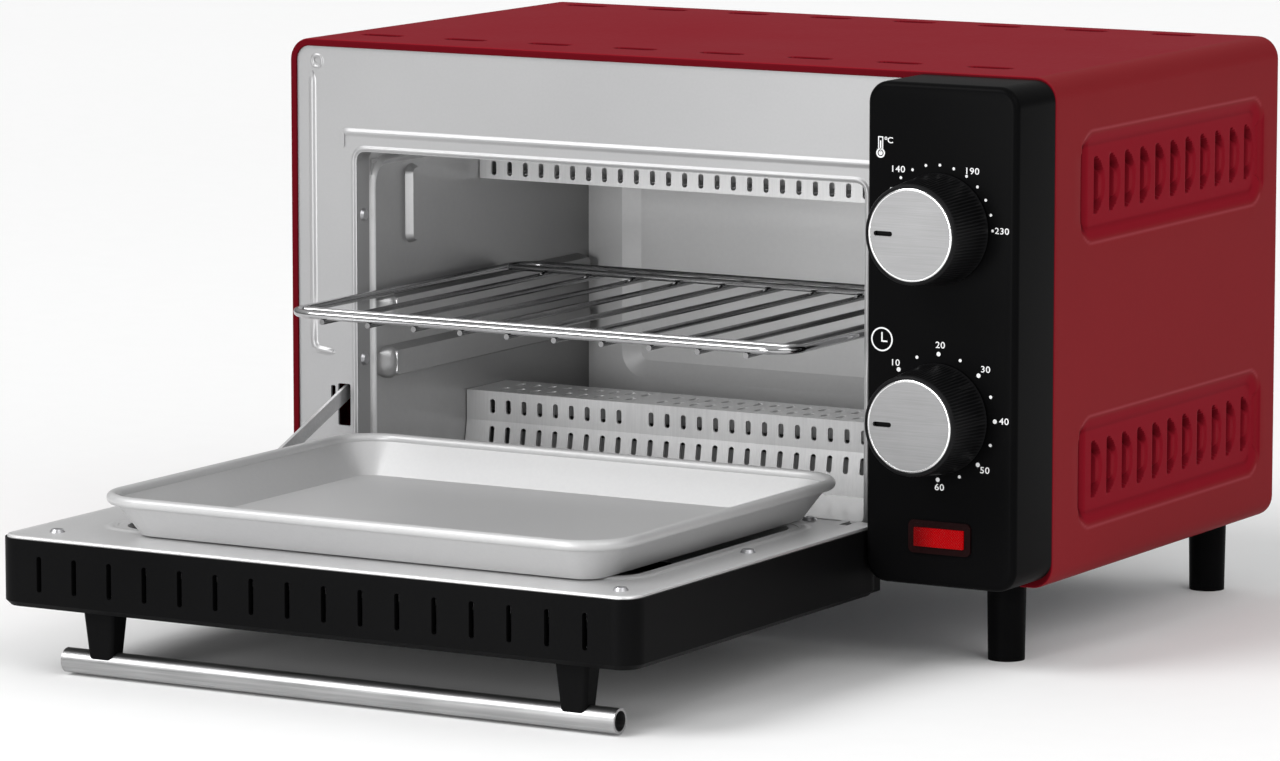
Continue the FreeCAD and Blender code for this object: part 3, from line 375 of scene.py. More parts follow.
def side_stations(side):
    """Stations from the bottom flange up one side and round the top fold."""
    low, high = cover_low.z, cover_high.z
    flat = side * (COVER_HALF - COVER_FOLD)
    stations = [(side * (COVER_HALF - SIDE_FLANGE), low, 0, -1)]
    for k in range(9):
        a = math.radians(-90 + 90 * k / 8)
        stations.append((flat + side * COVER_FOLD * math.cos(a), low + COVER_FOLD * (1 + math.sin(a)),
                         side * math.cos(a), math.sin(a)))
    lower, upper = VENT_LEVELS
    stops = (low + COVER_FOLD, lower - FIELD_HALF_HIGH, lower + FIELD_HALF_HIGH, upper - FIELD_HALF_HIGH,
             upper + FIELD_HALF_HIGH, high - COVER_FOLD)
    levels = spaced(stops, (0.005, PRESS_STEP_Z, 0.008, PRESS_STEP_Z, 0.005))[1:]
    stations += [(side * COVER_HALF, z, side, 0) for z in levels]
    for k in range(10):
        a = math.radians(90 * k / 9)
        stations.append((flat + side * COVER_FOLD * math.cos(a), high - COVER_FOLD * (1 - math.sin(a)),
                         side * math.cos(a), math.sin(a)))
    return stations


def gather(parts):
    """Joins several lists of points and faces."""
    points = []
    faces = []
    for some_points, some_faces in parts:
        faces += [tuple(i + len(points) for i in face) for face in some_faces]
        points += some_points
    return points, faces


def build_cover(finish):
    """The three strips of the wrapped sheet, as one piece."""
    first, last = cover_low.y + 0.004, cover_high.y - 0.001
    side_depths = spaced((first, FIELD_FRONT, VENT_FIRST - VENT_MARGIN, VENT_LAST, FIELD_REAR, last),
                         (0.006, PRESS_STEP_Y, VENT_PITCH / 20, PRESS_STEP_Y, 0.004))
    front_scoops, rear_scoops = SCOOP_YS
    top_depths = spaced((first, front_scoops - SCOOP_ROOM, front_scoops + SCOOP_ROOM,
                         rear_scoops - SCOOP_ROOM, rear_scoops + SCOOP_ROOM, last),
                        (0.006, SCOOP_STEP_Y, 0.012, SCOOP_STEP_Y, 0.003))
    flat = COVER_HALF - COVER_FOLD
    across = [(x, cover_high.z, 0, 1) for x in even(flat, -flat, SCOOP_STEP_X) + [-flat]]
    strips = [cover_strip(side_stations(1), side_depths, lambda x, y, z: vent_press(y, z)),
              cover_strip(across, top_depths, lambda x, y, z: scoop_press(x, y)),
              cover_strip(side_stations(-1)[::-1], side_depths, lambda x, y, z: vent_press(y, z))]
    points, faces = gather([strip[:2] for strip in strips])
    cover = skin_piece("wrapped_cover", points, faces, finish, "oven_body", ["outer_cover"])
    # The painted shade and highlight of the enamel, kept per point.
    mark = cover.data.attributes.new("painted_shading", "FLOAT", "POINT")
    mark.data.foreach_set("value", [shade for strip in strips for shade in strip[2]])


def shade_pressings(finish):
    """Paints the pressings' shading over the enamel: light outline, deep field, dark pocket."""
    tree = finish.node_tree
    skin = tree.nodes["Principled BSDF"]
    enamel_and_shading = skin.inputs["Base Color"].links[0].from_socket
    painted_shading = put(tree, "ShaderNodeAttribute", attribute_name="painted_shading")
    steps = ((0.0, -OUTLINE_TONE, ENAMEL_OUTLINE_HIGHLIGHT), (0.0, FIELD_TONE, ENAMEL_FIELD_SHADE),
             (FIELD_TONE, 1.0, ENAMEL_SHADED))
    for start, full, colour in steps:
        reach = put(tree, "ShaderNodeMapRange", {"From Min": start, "From Max": full})
        join(tree, painted_shading, "Fac", reach, "Value")
        laid = put(tree, "ShaderNodeMix", {"B": colour}, data_type="RGBA")
        join(tree, reach, "Result", laid, "Factor")
        tree.links.new(enamel_and_shading, laid.inputs["A"])
        enamel_and_shading = laid.outputs["Result"]
    tree.links.new(enamel_and_shading, skin.inputs["Base Color"])


satin_red_enamel = lay_finish("satin_red_enamel", ENAMEL_RED, ENAMEL_RED_DEEP, (0.36, 0.46), patch=9.0,
                              grain=420.0, relief=0.000012, streak=0.25, shine=0.008)
shade_pressings(satin_red_enamel)
build_cover(satin_red_enamel)


# ---- Base, feet and back ------------------------------------------------------------
# The base plate and the back panel are zinc-coated sheet, screwed to the cover's
# flanges. Four moulded feet with rubber tips are screwed up through the base plate.
zinc_sheet = lay_finish("zinc_sheet", (0.50, 0.51, 0.52, 1), (0.36, 0.37, 0.39, 1), (0.30, 0.46),
                        metal=0.85, patch=60.0, grain=260.0, relief=0.000006)
foot_black = lay_finish("foot_black", (0.0040, 0.0040, 0.0042, 1), (0.0026, 0.0026, 0.0028, 1), (0.36, 0.5),
                        patch=40.0, grain=1500.0, relief=0.00001, shine=0.02)
screw_steel = lay_finish("screw_steel", (0.62, 0.62, 0.63, 1), (0.46, 0.46, 0.48, 1), (0.30, 0.40),
                         metal=0.95, patch=200.0, grain=900.0, relief=0.000008)
bush_black = lay_finish("bush_black", (0.022, 0.022, 0.023, 1), (0.014, 0.014, 0.015, 1), (0.42, 0.55),
                        patch=60.0, grain=1400.0, relief=0.000012)
dress("base_plate", zinc_sheet)
dress("back_panel", zinc_sheet)
dress("back_screws", screw_steel)
dress("foot_screws", screw_steel)
dress("cord_inlet_bush", bush_black)
for foot in ("foot_front_left", "foot_rear_left", "foot_front_right", "foot_rear_right"):
    dress(foot, foot_black)


# ---- Front facia --------------------------------------------------------------------
# The facia is one pressed steel sheet behind the cover's lip, with raised beads and a
# flange turned in round the mouth. It has a pale satin metallic coat.
facia_satin = lay_finish("facia_satin", (0.405, 0.405, 0.408, 1), (0.365, 0.365, 0.37, 1), (0.32, 0.40),
                         metal=0.4, patch=7.0, grain=900.0, relief=0.0000006, streak=0.3)
dress("front_facia", facia_satin)
floor_low, floor_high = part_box("cavity_floor")
FACIA_FRONT = cover_low.y + 0.00099
MOUTH_LEFT = floor_low.x + 0.001
MOUTH_RIGHT = floor_high.x - 0.001
MOUTH_SILL = cover_low.z + 0.018
MOUTH_HEAD = cover_low.z + 0.154
MOUTH_CORNER = 0.005
BEAD_WIDE = 0.0038
BEAD_HIGH = 0.00085
LEFT_BEAD = ((0.0102, 0.1850), (0.0102, 0.0710), (0.0205, 0.0700))
TOP_BEAD_IN = 0.0238
TOP_BEAD_LEVEL = 0.1614
RIGHT_BEAD_OUT = 0.0045
RIGHT_BEAD_LEVELS = (0.020, 0.1510)
DIMPLE_AT = (0.0125, 0.1898)
DIMPLE_R = 0.0024
DIMPLE_WIDE = 0.0017
DIMPLE_HIGH = 0.0004
MOUTH_FOLD_OUT = 0.0010
MOUTH_FOLD_WIDE = 0.0026
MOUTH_FOLD_HIGH = 0.0007
LINER_SCREW_XS = (-0.162, 0.096)
LINER_SCREW_Z = cover_low.z + 0.086
LINER_SCREW_ROOM = 0.0042
FLATTENED_TO = 0.68
FLATTENING_RUN = 0.005
panel_low, panel_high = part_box("control_panel_housing")


def turned_path(corners, radius, step=0.002, closed=False):
    """Points along straight runs with rounded corners."""
    count = len(corners)
    path = []
    for k in range(count):
        here = Vector(corners[k])
        if not closed and k in (0, count - 1):
            path.append(here)
            continue
        before = (Vector(corners[k - 1]) - here).normalized()
        after = (Vector(corners[(k + 1) % count]) - here).normalized()
        for j in range(9):
            t = j / 8
            path.append(here + before * radius * (1 - t) ** 2 + after * radius * t ** 2)
    spaced_out = []
    ends = len(path) if closed else len(path) - 1
    for k in range(ends):
        a = path[k]
        b = path[(k + 1) % len(path)]
        pieces = max(1, round((b - a).length / step))
        spaced_out += [a + (b - a) * j / pieces for j in range(pieces)]
    if not closed:
        spaced_out.append(path[-1])
    return spaced_out


def swell_along(path, wide, high, place, closed=False):
    """Soft raised bead over a path; place(u, v, out) gives the point in space."""
    total = len(path)
    run = [0.0]
    for k in range(1, total):
        run.append(run[-1] + (path[k] - path[k - 1]).length)
    points = []
    for k in range(total):
        ahead = path[(k + 1) % total] if closed or k < total - 1 else path[k]
        behind = path[k - 1] if closed or k > 0 else path[k]
        along = (ahead - behind).normalized()
        across = Vector((-along.y, along.x))
        near_end = 1.0 if closed else min(1.0, min(run[k], run[-1] - run[k]) / wide)
        full = math.sqrt(max(0.0, 1 - (1 - near_end) ** 2))
        for j in range(11):
            t = j / 5 - 1
            spot = path[k] + across * (t * wide / 2 * (0.25 + 0.75 * full))
            points.append(place(spot.x, spot.y, high * full * (0.5 + 0.5 * math.cos(math.pi * t))))
    faces = []
    for k in range(total if closed else total - 1):
        n = (k + 1) % total
        for j in range(10):
            faces.append((k * 11 + j, k * 11 + j + 1, n * 11 + j + 1, n * 11 + j))
    return points, faces


def on_facia(x, z, out):
    """Point on the facia; beads are flattened where a screw of the shut door comes near."""
    near = min(math.hypot(x - screw_x, z - LINER_SCREW_Z) for screw_x in LINER_SCREW_XS)
    kept = FLATTENED_TO + (1 - FLATTENED_TO) * ease((near - LINER_SCREW_ROOM) / FLATTENING_RUN)
    return (x, FACIA_FRONT - out * kept, z)


def build_facia_beads():
    """The beads left of, over and right of the mouth, and the round dimple."""
    left = -COVER_HALF
    z = cover_low.z
    down = turned_path([(left + dx, z + dz) for dx, dz in LEFT_BEAD], 0.004)
    over = turned_path([(left + TOP_BEAD_IN, z + TOP_BEAD_LEVEL),
                        (panel_low.x - 0.002, z + TOP_BEAD_LEVEL)], 0.003)
    right = turned_path([(MOUTH_RIGHT + RIGHT_BEAD_OUT, z + dz) for dz in RIGHT_BEAD_LEVELS], 0.003)
    parts = [swell_along(path, BEAD_WIDE, BEAD_HIGH, on_facia) for path in (down, over, right)]
    dimple_x = left + DIMPLE_AT[0]
    dimple_z = z + DIMPLE_AT[1]
    corners = [(dimple_x + dx * DIMPLE_R, dimple_z + dz * DIMPLE_R)
               for dx, dz in ((-1, -1), (1, -1), (1, 1), (-1, 1))]
    ring = turned_path(corners, DIMPLE_R, 0.0004, closed=True)
    parts.append(swell_along(ring, DIMPLE_WIDE, DIMPLE_HIGH, on_facia, closed=True))
    points, faces = gather(parts)
    skin_piece("facia_beads", points, faces, facia_satin, "oven_body")


def build_mouth_edge():
    """Rounded fold between the facia and its turned-in flange."""
    x0, x1 = MOUTH_LEFT - MOUTH_FOLD_OUT, MOUTH_RIGHT + MOUTH_FOLD_OUT
    z0, z1 = MOUTH_SILL - MOUTH_FOLD_OUT, MOUTH_HEAD + MOUTH_FOLD_OUT
    corners = [(x0, z0), (x1, z0), (x1, z1), (x0, z1)]
    path = turned_path(corners, MOUTH_CORNER + MOUTH_FOLD_OUT, 0.004, closed=True)
    points, faces = swell_along(path, MOUTH_FOLD_WIDE, MOUTH_FOLD_HIGH, on_facia, closed=True)
    skin_piece("mouth_fold", points, faces, facia_satin, "oven_body")


build_facia_beads()
build_mouth_edge()


# ---- Cavity -------------------------------------------------------------------------
# The oven chamber is five sheets of aluminised steel, with the shelf runners and a rib
# pressed into its side walls. Domed rivets hold the walls to the facia's flange.
RUNNER_MIDDLES = (cover_low.z + 0.0860, cover_low.z + 0.0640)
RUNNER_FRONT = cover_low.y + 0.0230
RUNNER_HALF_HIGH = 0.0068
RUNNER_OUT = 0.0055
RUNNER_CURVE = 0.55
NOSE_LONG = 0.0066
NOSE_LAP = 0.0022
NOSE_TIP = 0.62
BORDER_FRONT = 0.0143
BORDER_REAR = 0.0960
BORDER_LEVELS = (0.0225, 0.1485)
BORDER_WIDE = 0.0050
BORDER_HIGH = 0.0021
DARK_FROM = 0.055
DARK_FULL = 0.85
DARK_TONE = (0.17, 0.17, 0.168, 1)
cavity_sheet = lay_finish("cavity_sheet", (0.60, 0.60, 0.60, 1), (0.53, 0.53, 0.535, 1), (0.30, 0.38),
                          metal=0.7, patch=12.0, grain=500.0, relief=0.0000006, streak=0.3)
# A paler copy of the cavity sheet, as painted light on the back wall and on the border beads.
lit_cavity_sheet = lay_finish("lit_cavity_sheet", (0.86, 0.86, 0.86, 1), (0.79, 0.79, 0.795, 1), (0.30, 0.38),
                        metal=0.3, patch=10.0, grain=500.0, relief=0.0000006, streak=0.3)
# A darker copy of the cavity sheet, as painted shade on the chamber's floor.
shaded_floor_sheet = lay_finish("shaded_floor_sheet", (0.33, 0.33, 0.33, 1), (0.26, 0.26, 0.262, 1), (0.30, 0.38),
                         metal=0.7, patch=14.0, grain=500.0, relief=0.0000006, streak=0.3)


def darken_to_rear(finish):
    """Paints shade on the sheet, darker towards the rear, where less light reaches into the chamber.
    Paints the sheet darker towards the rear. That use does this is a guess.
    """
    tree = finish.node_tree
    skin = tree.nodes["Principled BSDF"]
    unshaded_colour = skin.inputs["Base Color"].links[0].from_socket
    where = put(tree, "ShaderNodeTexCoord")
    split = put(tree, "ShaderNodeSeparateXYZ")
    depth = put(tree, "ShaderNodeMapRange", {"From Min": floor_low.y + DARK_FROM,
                                            "From Max": floor_high.y, "To Max": DARK_FULL})
    darkened = put(tree, "ShaderNodeMix", {"B": DARK_TONE}, data_type="RGBA")
    join(tree, where, "Object", split, "Vector")
    join(tree, split, "Y", depth, "Value")
    join(tree, depth, "Result", darkened, "Factor")
    tree.links.new(unshaded_colour, darkened.inputs["A"])
    join(tree, darkened, "Result", skin, "Base Color")


darken_to_rear(cavity_sheet)
for wall in ("cavity_left_wall", "cavity_right_wall", "cavity_ceiling"):
    dress(wall, cavity_sheet)
dress("cavity_back_wall", lit_cavity_sheet)
dress("cavity_floor", shaded_floor_sheet)
dress("cavity_rivets", screw_steel)


def build_wall_beads():
    """Border bead pressed round the front of each side wall."""
    y = cover_low.y
    z = cover_low.z
    low, high = BORDER_LEVELS
    corners = [(y + BORDER_FRONT, z + low), (y + BORDER_FRONT, z + high), (y + BORDER_REAR, z + high)]
    path = turned_path(corners, 0.012)
    left = swell_along(path, BORDER_WIDE, BORDER_HIGH, lambda u, v, out: (floor_low.x + out, u, v))
    right = swell_along(path, BORDER_WIDE, BORDER_HIGH, lambda u, v, out: (floor_high.x - out, u, v))
    points, faces = gather([left, right])
    # The beads get the paler sheet as a painted highlight.
    skin_piece("wall_border_beads", points, faces, lit_cavity_sheet, "oven_body")


def grid_faces(long, wide):
    """Quads of an open grid, given its rows and the points in each."""
    return [(wide * k + m, wide * k + m + 1, wide * (k + 1) + m + 1, wide * (k + 1) + m)
            for k in range(long - 1) for m in range(wide - 1)]


def build_runner_noses():
    """Drawn, rounded front ends of the pressed shelf runners."""
    parts = []
    for wall_x, inward in ((floor_low.x, 1), (floor_high.x, -1)):
        for middle in RUNNER_MIDDLES:
            points = []
            for k in range(9):
                rise = ease(k / 8)
                y = RUNNER_FRONT - NOSE_LONG + (NOSE_LONG + NOSE_LAP) * k / 8
                half_high = RUNNER_HALF_HIGH * (NOSE_TIP + (1 - NOSE_TIP) * rise)
                for m in range(17):
                    a = math.radians(-90 + 180 * m / 16)
                    out = RUNNER_OUT * rise * max(math.cos(a), 0.0) ** RUNNER_CURVE
                    points.append((wall_x + inward * out, y, middle + half_high * math.sin(a)))
            parts.append((points, grid_faces(9, 17)))
    points, faces = gather(parts)
    skin_piece("runner_noses", points, faces, cavity_sheet, "oven_body")


build_wall_beads()
build_runner_noses()


# ---- Heaters and their guards -------------------------------------------------------
# Two sheathed heating tubes cross the chamber in ceramic bushes. Each runs inside a
# perforated channel of aluminised sheet.
guard_sheet = lay_finish("guard_sheet", (0.88, 0.88, 0.88, 1), (0.76, 0.76, 0.765, 1), (0.30, 0.40),
                         metal=0.45, stretch=(1, 1, 0.05), patch=20.0, grain=1400.0, relief=0.0000008)
heater_sheath = lay_finish("heater_sheath", (0.12, 0.115, 0.11, 1), (0.06, 0.058, 0.06, 1), (0.35, 0.55),
                           metal=0.7, patch=70.0, grain=900.0, relief=0.00001)
white_ceramic = lay_finish("white_ceramic", (0.72, 0.70, 0.66, 1), (0.60, 0.58, 0.54, 1), (0.45, 0.6),
                           patch=90.0, grain=1200.0, relief=0.00001)
dress("upper_heater_guard", guard_sheet)
dress("lower_heater_guard", guard_sheet)
dress("upper_heating_tube", heater_sheath)
dress("lower_heating_tube", heater_sheath)
dress("upper_ceramic_bushes", white_ceramic)
dress("lower_ceramic_bushes", white_ceramic)


# ---- Control housing ----------------------------------------------------------------
# The control housing is one moulding in black heat-resistant plastic with rounded
# edges, screwed on from behind the facia. Its dials and signs are printed in white ink.
PANEL_CORNER = 0.0085
PANEL_EDGE = 0.0026
PANEL_WALL = 0.0025
PANEL_REAR_ROUND = 0.0004
PANEL_TURNS = 10
THERMOSTAT_SCALE_R = 0.0240
TIMER_SCALE_R = 0.0244
LABEL_GAP = 0.0032
LABEL_HIGH = 0.0035
SMALL_DOT = 0.00058
MINUTE_DOT = 0.00088
BETWEEN_DOT = 0.00066
TEN_DEGREES_TURN = 14.5
MINUTE_TURN = 4.5
PRINT_PROUD = 0.00008


def housing_ring(inset, y):
    """Points of the housing's rounded outline at depth y, set in all round."""
    x0, x1 = panel_low.x + inset, panel_high.x - inset
    z0, z1 = panel_low.z + inset, panel_high.z - inset
    corner = PANEL_CORNER - inset
    ring = []
    for cx, cz, start in ((x1 - corner, z1 - corner, 0), (x0 + corner, z1 - corner, 90),
                          (x0 + corner, z0 + corner, 180), (x1 - corner, z0 + corner, 270)):
        for k in range(PANEL_TURNS + 1):
            a = math.radians(start + 90 * k / PANEL_TURNS)
            ring.append((cx + corner * math.cos(a), y, cz + corner * math.sin(a)))
    return ring


def loft(rings, capped=True):
    """Points and faces of a skin through rings with equal counts."""
    points = [p for ring in rings for p in ring]
    count = len(rings[0])
    faces = []
    for r in range(len(rings) - 1):
        for k in range(count):
            a = r * count + k
            b = r * count + (k + 1) % count
            faces.append((a, b, b + count, a + count))
    if capped:
        faces.append(tuple(range(count))[::-1])
        faces.append(tuple(range((len(rings) - 1) * count, len(rings) * count)))
    return points, faces


def build_housing(finish):
    """Front face, rounded edge and sides, open at the back."""
    front = panel_low.y
    rear = cover_low.y
    rings = []
    for k in range(8):
        a = math.radians(90 * k / 7)
        rings.append(housing_ring(PANEL_EDGE * (1 - math.sin(a)), front + PANEL_EDGE * (1 - math.cos(a))))
    for inset, y in ((0.0, rear - 0.0005), (PANEL_REAR_ROUND, rear), (PANEL_WALL, rear),
                     (PANEL_WALL, front + PANEL_WALL)):
        rings.append(housing_ring(inset, y))
    points, faces = loft(rings)
    skin_piece("control_housing_shell", points, faces, finish, "oven_body",
               ["control_panel_housing"])


# The housing's rounded edges are tinted lighter as a painted highlight.
panel_black = lay_finish("panel_black", (0.0036, 0.0036, 0.0038, 1), (0.0022, 0.0022, 0.0024, 1),
                         (0.30, 0.40), patch=16.0, grain=1600.0, relief=0.000006, shine=0.02,
                         edge_wear_and_sheen=(0.026, 0.026, 0.0265, 1))
print_white = lay_finish("print_white", (0.88, 0.88, 0.88, 1), (0.74, 0.74, 0.75, 1), (0.45, 0.55),
                         patch=150.0, grain=3000.0, relief=0.000003)
build_housing(panel_black)
dress("control_panel_screws", screw_steel)

thermostat_low, thermostat_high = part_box("thermostat_knob_grip")
timer_low, timer_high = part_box("timer_knob_grip")
DIAL_X = (timer_low.x + timer_high.x) / 2
THERMOSTAT_Z = (thermostat_low.z + thermostat_high.z) / 2
TIMER_Z = (timer_low.z + timer_high.z) / 2
PRINT_Y = panel_low.y - PRINT_PROUD


def circle(x, z, r, y, sides):
    """Points of an upright circle at depth y."""
    turns = [2 * math.pi * k / sides for k in range(sides)]
    return [(x + r * math.cos(a), y, z + r * math.sin(a)) for a in turns]


def disc(points, faces, x, z, r, hole=0.0, sides=20):
    """Adds a flat printed dot or ring to the lists."""
    first = len(points)
    points += circle(x, z, r, PRINT_Y, sides)
    if not hole:
        faces.append(tuple(range(first, first + sides)))
        return
    points += circle(x, z, hole, PRINT_Y, sides)
    for k in range(sides):
        b = (k + 1) % sides
        faces.append((first + k, first + b, first + sides + b, first + sides + k))


def bar(points, faces, x0, x1, z0, z1):
    """Adds a flat printed bar."""
    first = len(points)
    points += [(x0, PRINT_Y, z0), (x1, PRINT_Y, z0), (x1, PRINT_Y, z1), (x0, PRINT_Y, z1)]
    faces.append((first, first + 1, first + 2, first + 3))


def print_dials(finish):
    """Dots round both knobs, the thermometer and clock signs, and the dial numbers."""
    points = []
    faces = []
    labels = []
    for t in range(130, 231, 10):
        a = math.radians((230 - t) / 10 * TEN_DEGREES_TURN)
        x = DIAL_X - 0.0012 + THERMOSTAT_SCALE_R * math.cos(a)
        disc(points, faces, x, THERMOSTAT_Z + 0.0005 + THERMOSTAT_SCALE_R * math.sin(a), SMALL_DOT)
    for minutes in range(10, 61, 5):
        a = math.radians(135 - (minutes - 10) * MINUTE_TURN)
        r = MINUTE_DOT if minutes % 10 == 0 else BETWEEN_DOT
        z = TIMER_Z + 0.0006
        disc(points, faces, DIAL_X + TIMER_SCALE_R * math.cos(a), z + TIMER_SCALE_R * math.sin(a), r)
        if minutes % 10 == 0:
            far = TIMER_SCALE_R + LABEL_GAP
            labels.append((str(minutes), DIAL_X + far * math.cos(a) + 0.0007,
                           z + far * math.sin(a) + 0.0002, LABEL_HIGH))
    labels.append(("140", DIAL_X - 0.0181, THERMOSTAT_Z + 0.0219, LABEL_HIGH))
    labels.append(("190", DIAL_X + 0.0138, THERMOSTAT_Z + 0.0228, LABEL_HIGH))
    labels.append(("230", DIAL_X + 0.0268, THERMOSTAT_Z + 0.0005, 0.0034))
    x = panel_low.x + 0.0060
    z = THERMOSTAT_Z + 0.0306
    disc(points, faces, x, z - 0.0028, 0.0019, 0.0013)
    disc(points, faces, x, z - 0.0028, 0.0009)
    bar(points, faces, x - 0.0011, x - 0.0007, z - 0.0014, z + 0.0032)
    bar(points, faces, x + 0.0007, x + 0.0011, z - 0.0014, z + 0.0032)
    bar(points, faces, x - 0.0011, x + 0.0011, z + 0.0032, z + 0.0036)
    bar(points, faces, x - 0.0003, x + 0.0003, z - 0.0024, z + 0.0020)
    disc(points, faces, x + 0.0023, z + 0.0030, 0.0006, 0.0003)
    labels.append(("C", x + 0.0042, z + 0.0022, 0.0032))
    x += 0.0010
    z = TIMER_Z + 0.0291
    disc(points, faces, x, z, 0.0047, 0.0041, 40)
    bar(points, faces, x - 0.0003, x + 0.0003, z - 0.0004, z + 0.0028)
    bar(points, faces, x - 0.0003, x + 0.0024, z - 0.0010, z - 0.0004)
    skin_piece("dial_marks", points, faces, finish, "oven_body")
    return labels


def print_label(name, words, x, z, high, finish):
    """One printed number as a flat mesh."""
    curve = bpy.data.curves.new(name, "FONT")
    curve.body = words
    curve.size = high
    curve.offset = 0.00003
    curve.space_character = 1.08
    curve.align_x = "CENTER"
    curve.align_y = "CENTER"
    draft = bpy.data.objects.new(name + "_draft", curve)
    mesh = bpy.data.meshes.new_from_object(draft)
    widen = Matrix.Diagonal((1.16, 1.0, 1.0, 1.0))
    mesh.transform(Matrix.Translation((x, PRINT_Y, z)) @ Matrix.Rotation(math.pi / 2, 4, "X") @ widen)
    mesh.materials.clear()
    mesh.materials.append(finish)
    piece = add_object(name, mesh)
    bpy.data.objects.remove(draft)
    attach(piece, "oven_body")


for number, (words, x, z, high) in enumerate(print_dials(print_white)):
    print_label("dial_number_%02d" % number, words, x, z, high, print_white)


# ---- Knobs --------------------------------------------------------------------------
# Each knob is a moulded black grip with fine ribs, pushed on a steel shaft. A brushed
# aluminium disc with a slot for a pointer is pressed into its front.
GRIP_RIBS = 96
GRIP_RIB_DEEP = 0.00022
GRIP_TAPER = 0.0019
SKIRT_LONG = 0.0022
NOSE_ROUND = 0.0034
GRIP_NOSE = ((0.0001, 0.0010, 0.35), (0.0005, 0.0003, 0.0), (0.0009, 0.0, 0.0),
             (0.0013, 0.0, 0.0), (0.0015, 0.0003, 0.0), (0.0015, 0.0020, 0.0))
FACE_EDGE = ((-0.0009, 0.0001), (-0.0008, -0.00006), (-0.00045, -0.00010), (-0.0001, 0.0001), (0.0, 0.0006))
FACE_EDGE_SIDES = 120
brushed_disc = lay_finish("brushed_disc", (0.290, 0.290, 0.293, 1), (0.215, 0.215, 0.217, 1), (0.30, 0.40),
                          metal=0.85, stretch=(0.012, 1, 1), patch=25.0, grain=4200.0, relief=0.000001,
                          streak=0.6)
turned_edge = lay_finish("turned_edge", (0.95, 0.95, 0.95, 1), (0.84, 0.84, 0.845, 1), (0.14, 0.24),
                         metal=0.9, patch=120.0, grain=1500.0, relief=0.0000005)
# The grip's rib edges are tinted lighter, for wear and as a painted highlight.
grip_black = lay_finish("grip_black", (0.0040, 0.0040, 0.0042, 1), (0.0026, 0.0026, 0.0028, 1),
                        (0.30, 0.38), patch=60.0, grain=1500.0, relief=0.000004, shine=0.05,
                        edge_wear_and_sheen=(0.010, 0.010, 0.0105, 1))
shaft_steel = lay_finish("shaft_steel", (0.5, 0.5, 0.5, 1), (0.35, 0.35, 0.36, 1), (0.30, 0.4), metal=0.95,
                         patch=90.0, grain=800.0, relief=0.000006)


def build_grip(name, low, high):
    """Ribbed skirt, chamfered nose and the well that holds the disc."""
    cx = (low.x + high.x) / 2
    cz = (low.z + high.z) / 2
    base = (high.x - low.x) / 2
    nose = base - GRIP_TAPER
    front = low.y
    skirt = high.y - SKIRT_LONG
    rows = [(base - 0.0006, high.y, 0.0), (base, high.y - 0.0006, 0.3), (base - 0.0001, skirt, 0.4)]
    for k in range(1, 7):
        t = k / 6
        rows.append((base - 0.0002 + (nose - base + 0.0002) * t,
                     skirt + (front + NOSE_ROUND - high.y) * t, 1.0))
    rows += [(nose - inset, front + back, ribbed) for inset, back, ribbed in GRIP_NOSE]
    sides = GRIP_RIBS * 4
    rings = []
    for r, y, ribbed in rows:
        ring = []
        for k in range(sides):
            a = 2 * math.pi * k / sides
            far = r - ribbed * GRIP_RIB_DEEP * (0.5 - 0.5 * math.cos(math.pi * (k % 4) / 2))
            ring.append((cx + far * math.cos(a), y, cz + far * math.sin(a)))
        rings.append(ring)
    points, faces = loft(rings)
    skin_piece(name + "_ribbed_grip", points, faces, grip_black, name + "_knob",
               [name + "_knob_grip"])


build_grip("thermostat", thermostat_low, thermostat_high)
build_grip("timer", timer_low, timer_high)


def build_face_edge(name):
    """Bright chamfer turned round the rim of the disc."""
    low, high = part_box(name + "_knob_face")
    cx = (low.x + high.x) / 2
    cz = (low.z + high.z) / 2
    r = (high.x - low.x) / 2
    rings = [circle(cx, cz, r + out, low.y + back, FACE_EDGE_SIDES) for out, back in FACE_EDGE]
    points, faces = loft(rings, capped=False)
    skin_piece(name + "_face_edge", points, faces, turned_edge, name + "_knob")


for knob in ("thermostat", "timer"):
    dress(knob + "_knob_face", brushed_disc)
    dress(knob + "_shaft", shaft_steel)
    build_face_edge(knob)


# ---- Pilot lamp ---------------------------------------------------------------------
# A clear red lens with a fine prism pattern is clipped into a bezel, with a neon bulb
# behind it.
lamp_bezel = lay_finish("lamp_bezel", (0.012, 0.0028, 0.003, 1), (0.006, 0.0018, 0.002, 1), (0.30, 0.4),
                        patch=80.0, grain=900.0, relief=0.000003, shine=0.05)
lamp_red = lay_finish("lamp_red", (0.13, 0.001, 0.002, 1), (0.09, 0.001, 0.001, 1), (0.12, 0.24),
                      patch=220.0, grain=2200.0, relief=0.00006, shine=0.06)
neon_glass = lay_finish("neon_glass", (0.8, 0.35, 0.2, 1), (0.6, 0.2, 0.1, 1), (0.1, 0.2), patch=100.0,
                        grain=900.0)
lamp_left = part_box("indicator_lens")[0].x
PRISM_PITCH = 0.0011
PRISM_RELIEF = 0.14
GLOW_STRENGTH = 0.46


